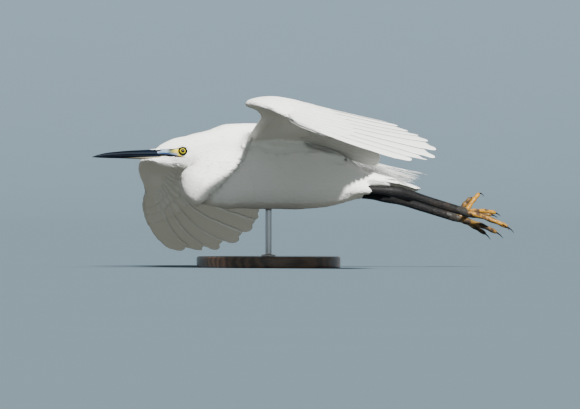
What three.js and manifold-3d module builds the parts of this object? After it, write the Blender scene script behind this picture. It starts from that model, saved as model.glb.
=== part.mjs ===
// A little egret in level flight, life size, held on a flat round base by one short rod.
//
// All lengths are millimetres. The bird is drawn in its own frame first: x forward to the bill, y to its
// left, z up, with the middle of the shoulders at the origin. The whole bird is then banked about x, left
// wing up, and lifted over the base, whose underside is centred on the part's origin.
//
// Each wing is drawn flat, as a plan of x against the distance s out from the shoulder along the wing, and is
// then bent along its span: the arm rises from the shoulder and the hand droops from the wrist.
import * as THREE from "three";
import Module from "manifold-3d";
import { mergeVertices } from "three/addons/utils/BufferGeometryUtils.js";

const wasm = await Module();
wasm.setup();

// Pose of the whole bird over its base
const BANK_DEGREES = 11.5;
const SHOULDER_HEIGHT = 152;

// Gap between neighbouring sub-parts
const GAP = 0.3;

// Body stations from front to back: place, half width, and height above and below the middle line
const TORSO = [
  { x: 40, z: -52, w: 11, up: 14, down: 20 },
  { x: 22, z: -38, w: 24, up: 36, down: 40 },
  { x: -4, z: -27, w: 33.5, up: 50, down: 52 },
  { x: -30, z: -26, w: 38, up: 53, down: 54 },
  { x: -60, z: -28, w: 38.5, up: 51, down: 52 },
  { x: -95, z: -33, w: 36, up: 46, down: 48 },
  { x: -130, z: -41, w: 30, up: 38, down: 37 },
  { x: -158, z: -47, w: 23, up: 25, down: 23 },
  { x: -180, z: -50, w: 13, up: 12, down: 12 },
];
// The shoulder feathers that fair each wing's root into the back
const FAIRING_Y = 25;
const FAIRING = [
  { x: 14, z: -1, w: 5, up: 6, down: 6 },
  { x: -20, z: 1, w: 11, up: 10, down: 12 },
  { x: -70, z: -5, w: 13, up: 10, down: 14 },
  { x: -120, z: -17, w: 10, up: 8, down: 12 },
  { x: -158, z: -30, w: 5, up: 4, down: 6 },
];
const NECK_UPPER = [
  { x: 76, z: -8, w: 14, up: 16, down: 18 },
  { x: 54, z: -6, w: 18, up: 22.5, down: 25 },
  { x: 28, z: -4, w: 24, up: 30, down: 30 },
  { x: 4, z: -4, w: 29.5, up: 33.5, down: 30 },
  { x: -18, z: -6, w: 27, up: 30, down: 26 },
];
const NECK_LOWER = [
  { x: -4, z: -4, w: 24, up: 23, down: 23 },
  { x: 14, z: -20, w: 29, up: 27, down: 28 },
  { x: 31, z: -37, w: 29, up: 28, down: 28 },
  { x: 47, z: -52, w: 27, up: 27, down: 26 },
  { x: 62, z: -66, w: 20, up: 21, down: 20 },
];
const HEAD = [
  { x: 112, z: -14, w: 3, up: 2, down: 3 },
  { x: 100, z: -10, w: 6.5, up: 8, down: 8.5 },
  { x: 91, z: -9, w: 10, up: 12.5, down: 12.5 },
  { x: 78, z: -8.5, w: 13.6, up: 17.5, down: 17.5 },
  { x: 64, z: -8, w: 15.6, up: 20, down: 21 },
  { x: 48, z: -7, w: 16, up: 21, down: 22 },
];
const HEAD_END_X = 63;

// Bill: heights of its ridge, mouth line and lower edge, and its half width, by x
const BILL_BACK_X = 88;
const BILL_TIP_X = 185.5;
const BILL_RIDGE = [[88, -2.2], [124, -4.4], [152, -6.4], [172, -9.4], [185.5, -11.3]];
const BILL_MOUTH = [[88, -12.6], [152, -12.2], [185.5, -11.6]];
const BILL_UNDER = [[88, -18], [124, -16.6], [152, -15.7], [172, -14.2], [185.5, -12]];
const BILL_HALF_WIDTH = [[88, 6], [124, 4.2], [152, 3], [172, 1.8], [185.5, 0.4]];
const NOSTRIL = { x: 108, z: -6.6, length: 8, height: 1.4, depth: 1.2 };
// The line of the mouth where it runs back over the cheek: its height by x, and the slit's height and depth
const GAPE = [[66, -16.9], [77, -15], [88, -12.9], [101, -12.5]];
const GAPE_SLIT = { height: 0.8, depth: 1.2 };
const EYE = { x: 71.5, y: 10.2, z: -9.6, radius: 5.2 };
const LID = { radius: 4.5, thickness: 1, outset: 2.6 };

// Wing plan: x of the leading and trailing edges at distances s from the shoulder
const SHOULDER_Y = 25;
const WRIST = { x: 46, s: 157 };
const LEADING_EDGE = [
  [-20, 14], [0, 14], [60, 6], [95, 10], [125, 28], [150, 50], [164, 53],
  [190, 46], [225, 30], [298, 5], [345, -27], [370, -53], [388, -81],
];
const TRAILING_EDGE = [
  [-20, -190], [0, -186], [20, -178], [35, -168], [50, -155], [75, -134], [100, -121], [130, -114],
  [157, -117], [204, -128], [268, -135], [305, -137], [340, -132], [365, -119], [388, -84],
];
// Camber: height over the flat plan as a share of the sag, by share of the chord from the leading edge
const CAMBER = [[0, -0.05], [0.2, 0.22], [0.34, 0.1], [1, -1], [1.3, -1.5]];
const SAG = [[0, 26], [60, 25], [157, 24], [230, 14], [300, 5], [388, 4]];
// Slope of each wing along its span, in degrees up from level
const SPAN_SLOPE = {
  left: [[0, 8], [110, 10], [160, -11], [205, -34], [260, -32], [388, -34]],
  right: [[0, 8], [110, 9], [160, -10], [205, -28], [260, -25], [388, -5]],
};
const WRIST_CUT_S = 151.5;
const WING_ROOT_S = -12;
const WING_END_S = 234;
const WING_CORE_CHORD = [[-12, 84], [90, 72], [157, 60], [215, 38], [234, 20]];
const WING_CORE_HALF = [[-12, 8.5], [90, 6.5], [157, 5.6], [215, 4.2], [234, 2.6]];

// Flight feathers: a vane and its lift clear of the next one under it
const VANE_THICKNESS = 0.7;
const VANE_LIFT = 1.15;
const COVERT_LAYER = 4.2;
// Coverts of the arm and the hand: how many in a row, and their reach over and under the flight feathers
const ARM_COVERTS = { count: 10, over: 0.58, under: 0.46 };
const HAND_COVERTS = { count: 7, over: 0.46, under: 0.36 };
// Stations along a vane, as shares of its length
const PRIMARY_VANE = [0, 0.28, 0.52, 0.74, 0.89, 0.965, 1];
const LONG_VANE = [0, 0.4, 0.8, 0.95, 1];
const SHORT_VANE = [0, 0.5, 0.88, 1];
const PRIMARIES = 10;
const SECONDARIES = 10;
const TERTIALS = 5;

// Tail: a closed fan arched over a round section
const TAIL_FEATHERS = 12;
const TAIL_ROOT = { x: -150, z: -40 };
const TAIL_TIP = { x: -251, z: -52 };
const TAIL_HALF_SPREAD = 21;
const TAIL_ARCH_RADIUS = 30;
// Half width of the row of quills at the tail's root, the webs of a feather, and a narrower web at the top
const TAIL_ROOT_SPREAD = 15;
const TAIL_WEBS = { outer: 4.2, inner: 4.6, topInner: 2.5 };
const TAIL_STEM = [
  { x: -146, z: -46, w: 16, up: 9, down: 6 },
  { x: -172, z: -46, w: 15, up: 5, down: 4.5 },
  { x: -192, z: -47.5, w: 14, up: 3.5, down: 3 },
  { x: -210, z: -50, w: 11, up: 1.8, down: 1.8 },
];

// Long plumes of the back
const PLUMES = { layers: 3, each: 4 };
const SADDLE = [
  { x: -22, z: 24, w: 12, up: 5, down: 12 },
  { x: -60, z: 20, w: 18, up: 7, down: 14 },
  { x: -105, z: 5, w: 17, up: 9, down: 14 },
  { x: -145, z: -16, w: 12, up: 8, down: 10 },
];

// Legs and feet
const HIP_SIDE = 18;
const THIGH = { x: -128, z: -54, side: 13 };
const ANKLE = { x: -216, z: -62.5 };
const TOE_ROOT = { x: -303, z: -88 };
// Toes by the place of the claw's tip from the toes' root, and their thickness
const TOES = {
  hind: { tip: [-29, -4, 21], radius: 2.7, arch: 3 },
  inner: { tip: [-53, -12, -3], radius: 2.6, arch: 4 },
  middle: { tip: [-64, 1, -27], radius: 2.9, arch: 4 },
  outer: { tip: [-52, 14, -26], radius: 2.6, arch: 3 },
};
// A claw takes this share of its toe, hooks down by this much, and is this thick at its root and tip
const CLAW = { share: 0.14, hook: 3.4, rootRadius: 1.45, tipRadius: 0.3 };

// Stand: a round base with a broken edge, and one rod up to the belly
const BASE = { radius: 90, height: 14, edge: 2.5 };
const ROD_RADIUS = 4;
const ROD_AT = { x: -45, y: 10.4 };

const PLUMAGE = { color: 0xf2f1ec, roughness: 0.85 };
const HORN = { color: 0x1c2026, roughness: 0.35 };
const IRIS = { color: 0xe8c21a, roughness: 0.1 };
const SHANK = { color: 0x24231f, roughness: 0.45 };
const TOE_SKIN = { color: 0xd9a514, roughness: 0.5 };
const BASE_WOOD = { color: 0x2b2420, roughness: 0.4 };
const ROD_STEEL = { color: 0x8f9296, roughness: 0.3, metalness: 1 };

const { clamp, degToRad: radians, lerp } = THREE.MathUtils;
const clamp01 = (t) => clamp(t, 0, 1);
const easeInOut = (t) => clamp01(t) ** 2 * (3 - 2 * clamp01(t));
const numbersTo = (count) => Array.from({ length: count }, (_, i) => i + 1);

/** The value at t of a smooth curve through [t, value] pairs in rising order of t. */
function smooth(keys, t) {
  const last = keys.length - 1;
  if (t <= keys[0][0]) return keys[0][1];
  if (t >= keys[last][0]) return keys[last][1];
  const slope = (i) => {
    const before = keys[Math.max(0, i - 1)];
    const after = keys[Math.min(last, i + 1)];
    return (after[1] - before[1]) / (after[0] - before[0]);
  };
  let i = 0;
  while (keys[i + 1][0] < t) i += 1;
  const span = keys[i + 1][0] - keys[i][0];
  const f = (t - keys[i][0]) / span;
  return (
    (2 * f ** 3 - 3 * f ** 2 + 1) * keys[i][1] +
    (f ** 3 - 2 * f ** 2 + f) * span * slope(i) +
    (3 * f ** 2 - 2 * f ** 3) * keys[i + 1][1] +
    (f ** 3 - f ** 2) * span * slope(i + 1)
  );
}

/** Numbers between 0 and 1 that look random and are the same in every build. */
function seededRandom(seed) {
  let state = seed;
  return () => {
    state = (state * 16807) % 2147483647;
    return state / 2147483647;
  };
}

/** A closed solid from points and triangles, turned to face outwards. */
function solidFrom(points, triangles) {
  const make = (faces) =>
    new wasm.Manifold(
      new wasm.Mesh({
        numProp: 3,
        vertProperties: new Float32Array(points.flatMap((p) => [p.x, p.y, p.z])),
        triVerts: new Uint32Array(faces.flat()),
      }),
    );
  const solid = make(triangles);
  return solid.volume() > 0 ? solid : make(triangles.map(([a, b, c]) => [a, c, b]));
}

/** A closed solid from a closed three.js geometry. */
function solidFromGeometry(geometry) {
  const bare = geometry.toNonIndexed();
  bare.deleteAttribute("normal");
  bare.deleteAttribute("uv");
  const merged = mergeVertices(bare, 1e-4);
  const places = merged.getAttribute("position");
  const points = Array.from({ length: places.count }, (_, i) =>
    new THREE.Vector3().fromBufferAttribute(places, i),
  );
  const triangles = [];
  for (let i = 0; i < merged.index.count; i += 3) {
    const corners = [0, 1, 2].map((k) => merged.index.getX(i + k));
    if (new Set(corners).size === 3) triangles.push(corners);
  }
  return solidFrom(points, triangles);
}

/** Solids joined into one. */
const fuse = (solids) => wasm.Manifold.union(solids);

/** Only the largest closed surface of a solid, so that no loose scrap of a cut is kept. */
function largest(solid) {
  return solid.decompose().reduce((best, one) => (one.volume() > best.volume() ? one : best));
}

/** The part of a solid on the side of a plane through a point that its direction points to. */
function keepSide(solid, direction, point) {
  return solid.trimByPlane(direction.toArray(), direction.dot(point));
}

/** A body through rings of points, closed by a fan at each end. */
function loft(rings) {
  const sides = rings[0].length;
  const points = rings.flat();
  const triangles = [];
  for (let k = 0; k + 1 < rings.length; k += 1) {
    for (let j = 0; j < sides; j += 1) {
      const a = k * sides + j;
      const b = k * sides + ((j + 1) % sides);
      triangles.push([a, b, b + sides], [a, b + sides, a + sides]);
    }
  }
  for (const ring of [0, rings.length - 1]) {
    const middle = rings[ring].reduce((sum, p) => sum.add(p), new THREE.Vector3()).divideScalar(sides);
    const centre = points.push(middle) - 1;
    for (let j = 0; j < sides; j += 1) {
      const edge = [ring * sides + j, ring * sides + ((j + 1) % sides)];
      triangles.push(ring === 0 ? [edge[1], edge[0], centre] : [...edge, centre]);
    }
  }
  return solidFrom(points, triangles);
}

/** A thin closed body over a grid, from place(row, column, face), where face is 1 above and -1 below. */
function slab(rows, columns, place) {
  const points = [];
  for (const face of [1, -1]) {
    for (let i = 0; i <= rows; i += 1) {
      for (let j = 0; j <= columns; j += 1) points.push(place(i, j, face));
    }
  }
  const under = (rows + 1) * (columns + 1);
  const id = (i, j) => i * (columns + 1) + j;
  const triangles = [];
  for (let i = 0; i < rows; i += 1) {
    for (let j = 0; j < columns; j += 1) {
      const [a, b, c, d] = [id(i, j), id(i, j + 1), id(i + 1, j + 1), id(i + 1, j)];
      triangles.push([a, b, c], [a, c, d]);
      triangles.push([a + under, c + under, b + under], [a + under, d + under, c + under]);
    }
  }
  const rim = [];
  for (let j = 0; j < columns; j += 1) rim.push([id(0, j), id(0, j + 1)]);
  for (let i = 0; i < rows; i += 1) rim.push([id(i, columns), id(i + 1, columns)]);
  for (let j = columns; j > 0; j -= 1) rim.push([id(rows, j), id(rows, j - 1)]);
  for (let i = rows; i > 0; i -= 1) rim.push([id(i, 0), id(i - 1, 0)]);
  for (const [a, b] of rim) triangles.push([a, a + under, b + under], [a, b + under, b]);
  return solidFrom(points, triangles);
}

/** The smooth station at share t of a list of stations. */
function stationAt(stations, t) {
  const at = t * (stations.length - 1);
  const value = (name) => smooth(stations.map((station, i) => [i, station[name]]), at);
  return { x: value("x"), z: value("z"), w: value("w"), up: value("up"), down: value("down") };
}

/**
 * A rounded body through stations, with rings square to its middle line.
 * A blunt end rounds off over that share of the length; grow makes the body that much bigger all round.
 */
function fleshBody(stations, { sides = 20, rings = 12, grow = 0, blunt = [0.1, 0.1], y = 0 } = {}) {
  const made = [];
  for (let k = 0; k <= rings; k += 1) {
    const t = lerp((1 - Math.cos((Math.PI * k) / rings)) / 2, k / rings, 0.5);
    const here = stationAt(stations, t);
    const ahead = stationAt(stations, Math.min(1, t + 0.02));
    const behind = stationAt(stations, Math.max(0, t - 0.02));
    const along = new THREE.Vector3(ahead.x - behind.x, 0, ahead.z - behind.z).normalize();
    const upward = new THREE.Vector3(along.z, 0, -along.x);
    if (upward.z < 0) upward.negate();
    const ends = [t / blunt[0], (1 - t) / blunt[1]].map((d) => Math.sqrt(1 - 0.97 * (1 - clamp01(d)) ** 2));
    const round = ends[0] * ends[1];
    const shift = k === 0 ? -grow : k === rings ? grow : 0;
    const ring = [];
    for (let j = 0; j < sides; j += 1) {
      const turn = (2 * Math.PI * j) / sides;
      const half = Math.sin(turn) > 0 ? here.up : here.down;
      ring.push(
        new THREE.Vector3(here.x, y + (here.w * round + grow) * Math.cos(turn), here.z)
          .addScaledVector(upward, (half * round + grow) * Math.sin(turn))
          .addScaledVector(along, shift),
      );
    }
    made.push(ring);
  }
  return loft(made);
}

/** A round or flattened tapering body along a curve, its radius given by share of the length. */
function taper(curve, radiusAt, { sides = 8, rings = 6, flat = 1 } = {}) {
  const made = [];
  for (let k = 0; k <= rings; k += 1) {
    const t = k / rings;
    const along = curve.getTangent(t);
    const across = new THREE.Vector3(0, 1, 0).addScaledVector(along, -along.y).normalize();
    const upward = new THREE.Vector3().crossVectors(along, across);
    const ring = [];
    for (let j = 0; j < sides; j += 1) {
      const turn = (2 * Math.PI * j) / sides;
      ring.push(
        curve.getPoint(t)
          .addScaledVector(across, radiusAt(t) * flat * Math.cos(turn))
          .addScaledVector(upward, radiusAt(t) * Math.sin(turn)),
      );
    }
    made.push(ring);
  }
  return loft(made);
}

/** A ball at a place. */
function ball(place, radius, segments = [12, 8]) {
  return solidFromGeometry(new THREE.SphereGeometry(radius, ...segments).translate(...place.toArray()));
}

/** A plain block by its middle and size. */
function block(middle, size) {
  return solidFromGeometry(new THREE.BoxGeometry(...size).translate(...middle.toArray()));
}

/** The torso with the fairings of both wing roots. */
function torsoBody(grow) {
  const fairing = (y) => fleshBody(FAIRING, { sides: 10, rings: 7, grow, blunt: [0.15, 0.15], y });
  return fuse([
    fleshBody(TORSO, { sides: 22, rings: 14, grow, blunt: [0.1, 0.08] }),
    fairing(FAIRING_Y),
    fairing(-FAIRING_Y),
  ]);
}

const neckUpperBody = (grow) => fleshBody(NECK_UPPER, { sides: 18, rings: 9, grow, blunt: [0.05, 0.3] });
const neckLowerBody = (grow) => fleshBody(NECK_LOWER, { sides: 18, rings: 10, grow, blunt: [0.1, 0.34] });
const headBody = (grow) => fleshBody(HEAD, { sides: 18, rings: 10, grow, blunt: [0.08, 0.05] });

/** The bend of one wing along its span: the place and slope at distance s from the shoulder. */
function spanBend(side) {
  const slopeAt = (s) => radians(smooth(SPAN_SLOPE[side], s));
  const places = [{ y: SHOULDER_Y, z: 0 }];
  for (let s = 0; s < 420; s += 1) {
    const before = places[s];
    const slope = slopeAt(s + 0.5);
    places.push({ y: before.y + Math.cos(slope), z: before.z + Math.sin(slope) });
  }
  return (s) => {
    const slope = slopeAt(s);
    if (s <= 0) return { y: SHOULDER_Y + s * Math.cos(slope), z: s * Math.sin(slope), slope };
    const i = Math.floor(s);
    return {
      y: lerp(places[i].y, places[i + 1].y, s - i),
      z: lerp(places[i].z, places[i + 1].z, s - i),
      slope,
    };
  };
}

/** Turns a wing's plan into space: place(x, s, h), with h the height above the cambered middle surface. */
function wingPlacer(side) {
  const bend = spanBend(side);
  const mirror = side === "left" ? 1 : -1;
  return (x, s, h) => {
    const front = smooth(LEADING_EDGE, s);
    const chord = Math.max(60, front - smooth(TRAILING_EDGE, s));
    const height = h + smooth(SAG, s) * smooth(CAMBER, (front - x) / chord);
    const { y, z, slope } = bend(s);
    return new THREE.Vector3(x, mirror * (y - height * Math.sin(slope)), z + height * Math.cos(slope));
  };
}

/** Share of a vane's full width at share t of its length: narrow at the root and rounded at the tip. */
function vaneWidth(t) {
  const root = lerp(0.5, 1, easeInOut(t / 0.35));
  return t > 0.85 ? root * Math.sqrt(Math.max(0.05, 1 - ((t - 0.85) / 0.15) ** 2)) : root;
}

/**
 * One feather over a plan, placed in space by place(along, across, height).
 * It leans about its shaft, outer web up, by just enough to lie clear over the next feather out.
 */
function feather(place, { root, tip, bow, webs, spacing, from = 0, to = 1, layer = 0, rings, columns = 2 }) {
  const across = new THREE.Vector2(tip.y - root.y, root.x - tip.x).normalize();
  const middle = root.clone().lerp(tip, 0.5).addScaledVector(across, 2 * bow);
  const shaft = new THREE.QuadraticBezierCurve(root, middle, tip);
  const [outer, inner] = webs;
  const edges = columns === 2 ? [-inner, 0, outer] : [-inner, outer];
  return slab(rings.length - 1, columns, (i, j, face) => {
    const t = lerp(from, to, rings[i]);
    const heading = shaft.getTangent(t);
    const u = edges[j] * vaneWidth(rings[i]);
    const point = shaft.getPoint(t).add(new THREE.Vector2(heading.y, -heading.x).multiplyScalar(u));
    const lean = Math.min(0.42, VANE_LIFT / lerp(...spacing, t));
    const height = layer * clamp01(0.8 + rings[i]) + lean * u + (face * VANE_THICKNESS) / 2;
    return place(point.x, point.y, height);
  });
}

/** How far apart the shafts of two neighbours are, at the root and at the tip. */
function spacingBetween(plan, next) {
  const across = new THREE.Vector2(plan.tip.y - plan.root.y, plan.root.x - plan.tip.x).normalize();
  return [next.root.clone().sub(plan.root).dot(across), next.tip.clone().sub(plan.tip).dot(across)];
}

/** The plan of primary i, from 1 at the wrist to 10 at the leading edge. */
function primaryPlan(i) {
  const t = (i - 1) / (PRIMARIES - 1);
  const angle = radians(smooth([[1, 0], [4, 25.5], [6, 39], [8, 51.7], [10, 61.3]], i));
  const reach = smooth([[1, 163], [4, 199], [6, 235], [7, 255], [8.6, 269], [10, 260]], i);
  return {
    root: new THREE.Vector2(lerp(26, 21, t), lerp(160, 226, t)),
    tip: new THREE.Vector2(WRIST.x - reach * Math.cos(angle), WRIST.s + reach * Math.sin(angle)),
    bow: lerp(1, 11, t),
    webs: [lerp(10, 8, t), lerp(12, 15, t)],
    rings: PRIMARY_VANE,
  };
}

/** The plan of secondary i, from 1 at the wrist to 10 at the elbow. */
function secondaryPlan(i) {
  const t = (i - 1) / (SECONDARIES - 1);
  const tipS = lerp(147, 73, t);
  return {
    root: new THREE.Vector2(lerp(24, -30, t), lerp(152, 90, t)),
    tip: new THREE.Vector2(smooth(TRAILING_EDGE, tipS), tipS),
    bow: 1,
    webs: [6.5, 8],
    rings: LONG_VANE,
  };
}

/** The plan of tertial i, from 1 by the elbow to 5 by the body. */
function tertialPlan(i) {
  const t = (i - 1) / (TERTIALS - 1);
  const tipS = lerp(62, 12, t);
  return {
    root: new THREE.Vector2(-34, lerp(81, 30, t)),
    tip: new THREE.Vector2(smooth(TRAILING_EDGE, tipS), tipS),
    bow: 1,
    webs: [9, 10],
    rings: LONG_VANE,
  };
}

/** The plans of the flight feathers from the body out to the leading edge, each with its spacing. */
function flightPlans() {
  const plans = [
    ...numbersTo(TERTIALS).reverse().map(tertialPlan),
    ...numbersTo(SECONDARIES).reverse().map(secondaryPlan),
    ...numbersTo(PRIMARIES).map(primaryPlan),
  ];
  const last = plans.length - 1;
  return plans.map((plan, i) => {
    const from = Math.min(i, last - 1);
    return { ...plan, spacing: spacingBetween(plans[from], plans[from + 1]) };
  });
}

/** The plan part of the way between two neighbours in a list of plans. */
function planBetween(plans, at) {
  const i = Math.min(plans.length - 2, Math.floor(at));
  const [a, b] = [plans[i], plans[i + 1]];
  const f = at - i;
  const mix = (name) => a[name].map((value, k) => lerp(value, b[name][k], f));
  return {
    root: a.root.clone().lerp(b.root, f),
    tip: a.tip.clone().lerp(b.tip, f),
    bow: lerp(a.bow, b.bow, f),
    webs: mix("webs"),
    spacing: mix("spacing"),
  };
}

/** A row of coverts over or under the flight feathers of some plans, reaching to a share of their length. */
function coverts(place, plans, count, to, layer) {
  const step = (plans.length - 1) / (count - 1);
  return numbersTo(count).map((k) => {
    const plan = planBetween(plans, (k - 1) * step);
    const spacing = plan.spacing.map((d) => d * step);
    const webs = plan.webs.map((w) => 0.75 * w * step);
    return feather(place, { ...plan, spacing, webs, from: 0.1, to, layer, rings: SHORT_VANE, columns: 1 });
  });
}

/** Flight feathers with a row of coverts over them and another under them. */
function tiers(place, plans, { count, over, under }) {
  return [
    ...plans.map((plan) => feather(place, plan)),
    ...coverts(place, plans, count, over, COVERT_LAYER),
    ...coverts(place, plans, count, under, -COVERT_LAYER),
  ];
}

/** The flesh of a wing between two distances from the shoulder: thick in front and thin behind. */
function wingCore(place, fromS, toS, rows) {
  const thickness = [0.35, 0.85, 1, 0.95, 0.82, 0.64];
  const columns = thickness.length - 1;
  return slab(rows, columns, (i, j, face) => {
    const s = lerp(fromS, toS, i / rows);
    const back = (j / columns) ** 1.5 * smooth(WING_CORE_CHORD, s);
    return place(smooth(LEADING_EDGE, s) - back, s, face * smooth(WING_CORE_HALF, s) * thickness[j]);
  });
}

/** The arm and the hand of one wing, cut apart at the wrist. */
function wing(side) {
  const place = wingPlacer(side);
  const plans = flightPlans();
  const arm = fuse([
    wingCore(place, WING_ROOT_S, WRIST_CUT_S + 6, 7),
    ...tiers(place, plans.slice(0, -PRIMARIES), ARM_COVERTS),
  ]);
  const hand = fuse([
    wingCore(place, WRIST_CUT_S - 6, WING_END_S, 5),
    ...tiers(place, plans.slice(-PRIMARIES), HAND_COVERTS),
  ]);
  const outward = place(0, WRIST_CUT_S + 1, 0).sub(place(0, WRIST_CUT_S - 1, 0)).normalize();
  const wrist = place(0, WRIST_CUT_S, 0);
  const gap = outward.clone().multiplyScalar(GAP);
  return {
    arm: largest(
      keepSide(arm, outward.clone().negate(), wrist).subtract(torsoBody(GAP)).subtract(neckUpperBody(GAP)),
    ),
    hand: largest(keepSide(hand, outward, wrist.clone().add(gap))),
  };
}

/** The upper or lower half of the bill. */
function mandible(edge, gape) {
  const rings = 8;
  const sides = 9;
  const made = [];
  for (let k = 0; k <= rings; k += 1) {
    const x = lerp(BILL_BACK_X, BILL_TIP_X, k / rings);
    const mouth = smooth(BILL_MOUTH, x) + gape;
    const height = smooth(edge, x) - mouth;
    const ring = [];
    for (let j = 0; j < sides; j += 1) {
      const turn = (Math.PI * j) / (sides - 1);
      const z = mouth + height * Math.max(0, Math.sin(turn)) ** 0.8;
      ring.push(new THREE.Vector3(x, smooth(BILL_HALF_WIDTH, x) * Math.cos(turn), z));
    }
    made.push(ring);
  }
  return loft(made);
}

/** The upper half of the bill with a slit nostril on each side. */
function billUpper() {
  let solid = mandible(BILL_RIDGE, GAP / 2);
  for (const mirror of [1, -1]) {
    const y = mirror * (smooth(BILL_HALF_WIDTH, NOSTRIL.x) + 0.5);
    const size = [NOSTRIL.length, 2 * NOSTRIL.depth + 1, NOSTRIL.height];
    solid = solid.subtract(block(new THREE.Vector3(NOSTRIL.x, y, NOSTRIL.z), size));
  }
  return largest(solid.subtract(headBody(GAP)));
}

/** The slit that draws the line of the mouth over one cheek. */
function gapeSlit(mirror) {
  const rows = 4;
  const [fromX, toX] = [GAPE[0][0], GAPE[GAPE.length - 1][0]];
  const widths = HEAD.map(({ x, w }) => [x, w]).reverse();
  return slab(rows, 1, (i, j, face) => {
    const x = lerp(fromX, toX, i / rows);
    const y = smooth(widths, x) + (j === 0 ? -GAPE_SLIT.depth : 1);
    return new THREE.Vector3(x, mirror * y, smooth(GAPE, x) + (face * GAPE_SLIT.height) / 2);
  });
}

/** The head, with a lid around each eye's socket and the line of the mouth running back under the eye. */
function head() {
  const lids = [1, -1].map((mirror) => {
    const outward = new THREE.Vector3(0.16, mirror, 0.06).normalize();
    const turn = new THREE.Quaternion().setFromUnitVectors(new THREE.Vector3(0, 0, 1), outward);
    const centre = new THREE.Vector3(EYE.x, mirror * EYE.y, EYE.z).addScaledVector(outward, LID.outset);
    const ring = new THREE.TorusGeometry(LID.radius, LID.thickness, 5, 14).applyQuaternion(turn);
    return solidFromGeometry(ring.translate(...centre.toArray()));
  });
  const headEnd = new THREE.Vector3(HEAD_END_X, 0, 0);
  let solid = keepSide(fuse([headBody(0), ...lids]), new THREE.Vector3(1, 0, 0), headEnd);
  for (const mirror of [1, -1]) {
    const socket = ball(new THREE.Vector3(EYE.x, mirror * EYE.y, EYE.z), EYE.radius + GAP, [12, 8]);
    solid = solid.subtract(socket).subtract(gapeSlit(mirror));
  }
  return largest(solid);
}

/** The tail: a closed arched fan, each feather over the next one out, from a short root. */
function tail() {
  const arch = (x, s, h) => {
    const along = (x - TAIL_ROOT.x) / (TAIL_TIP.x - TAIL_ROOT.x);
    const turn = s / TAIL_ARCH_RADIUS;
    const top = lerp(TAIL_ROOT.z, TAIL_TIP.z, along) + 2 * Math.sin(Math.PI * along);
    const radius = TAIL_ARCH_RADIUS + h;
    return new THREE.Vector3(x, radius * Math.sin(turn), top - TAIL_ARCH_RADIUS + radius * Math.cos(turn));
  };
  const half = TAIL_FEATHERS / 2;
  const feathers = [1, -1].flatMap((mirror) =>
    numbersTo(half).map((i) => {
      const t = (i - 0.5) / half;
      const plan = {
        root: new THREE.Vector2(TAIL_ROOT.x, TAIL_ROOT_SPREAD * t),
        tip: new THREE.Vector2(TAIL_TIP.x + 7 * t ** 2, TAIL_HALF_SPREAD * t),
        bow: 0,
        webs: [TAIL_WEBS.outer, i === 1 ? TAIL_WEBS.topInner : TAIL_WEBS.inner],
        spacing: [TAIL_ROOT_SPREAD / half, TAIL_HALF_SPREAD / half],
        rings: LONG_VANE,
      };
      const lift = mirror > 0 ? 0.55 : -0.55;
      return feather((x, s, h) => arch(x, mirror * s, h + lift), plan);
    }),
  );
  const stem = fleshBody(TAIL_STEM, { sides: 14, rings: 6 });
  return largest(fuse([stem, ...feathers]).subtract(torsoBody(GAP)));
}

/** The plumes of the back: tapered locks out of a low saddle of feathers between the wings. */
function backPlumes() {
  const random = seededRandom(7);
  const saddle = fleshBody(SADDLE, { sides: 14, rings: 8, blunt: [0.2, 0.2] });
  const locks = numbersTo(PLUMES.layers).flatMap((layer) =>
    numbersTo(PLUMES.each).map((i) => {
      const side = (2 * i - PLUMES.each - 1 + 0.3 * (layer - 2)) / (PLUMES.each - 1);
      const lift = 2.1 * (layer - 1);
      const tipX = -216 - 12 * layer - 8 * random();
      const path = [
        new THREE.Vector3(-100 - 6 * layer, 10 * side, 11.5 - 2.6 * layer + 0.3 * lift),
        new THREE.Vector3(-146, 13 * side, -10 + lift),
        new THREE.Vector3(-188, 17 * side, -19 + lift - 3 * Math.abs(side)),
        new THREE.Vector3(tipX, 23 * side + 2 * (random() - 0.5), -37 + 3 * layer - 4 * Math.abs(side)),
      ];
      const radiusAt = (t) => lerp(1, 0.3, t ** 1.6);
      return taper(new THREE.CatmullRomCurve3(path), radiusAt, { sides: 4, rings: 5, flat: 2.4 });
    }),
  );
  return largest(fuse([saddle, ...locks]).subtract(torsoBody(GAP)));
}

/** One leg, bare from the thigh feathers over the ankle to the toes' root. */
function leg(mirror) {
  const at = ({ x, z, side = HIP_SIDE }) => new THREE.Vector3(x, mirror * side, z);
  const limb = (from, to, radii) =>
    taper(new THREE.LineCurve3(at(from), at(to)), (t) => lerp(...radii, t), { sides: 8, rings: 3 });
  const ankle = new THREE.SphereGeometry(5.8, 10, 7).scale(1.6, 0.9, 1);
  const whole = fuse([
    limb(THIGH, ANKLE, [8, 4.4]),
    limb(ANKLE, TOE_ROOT, [4, 3.3]),
    solidFromGeometry(ankle.translate(...at(ANKLE).toArray())),
  ]);
  const end = at(TOE_ROOT).add(new THREE.Vector3(5, 0, 0));
  return largest(keepSide(whole, new THREE.Vector3(1, 0, 0), end).subtract(torsoBody(GAP)));
}

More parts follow.
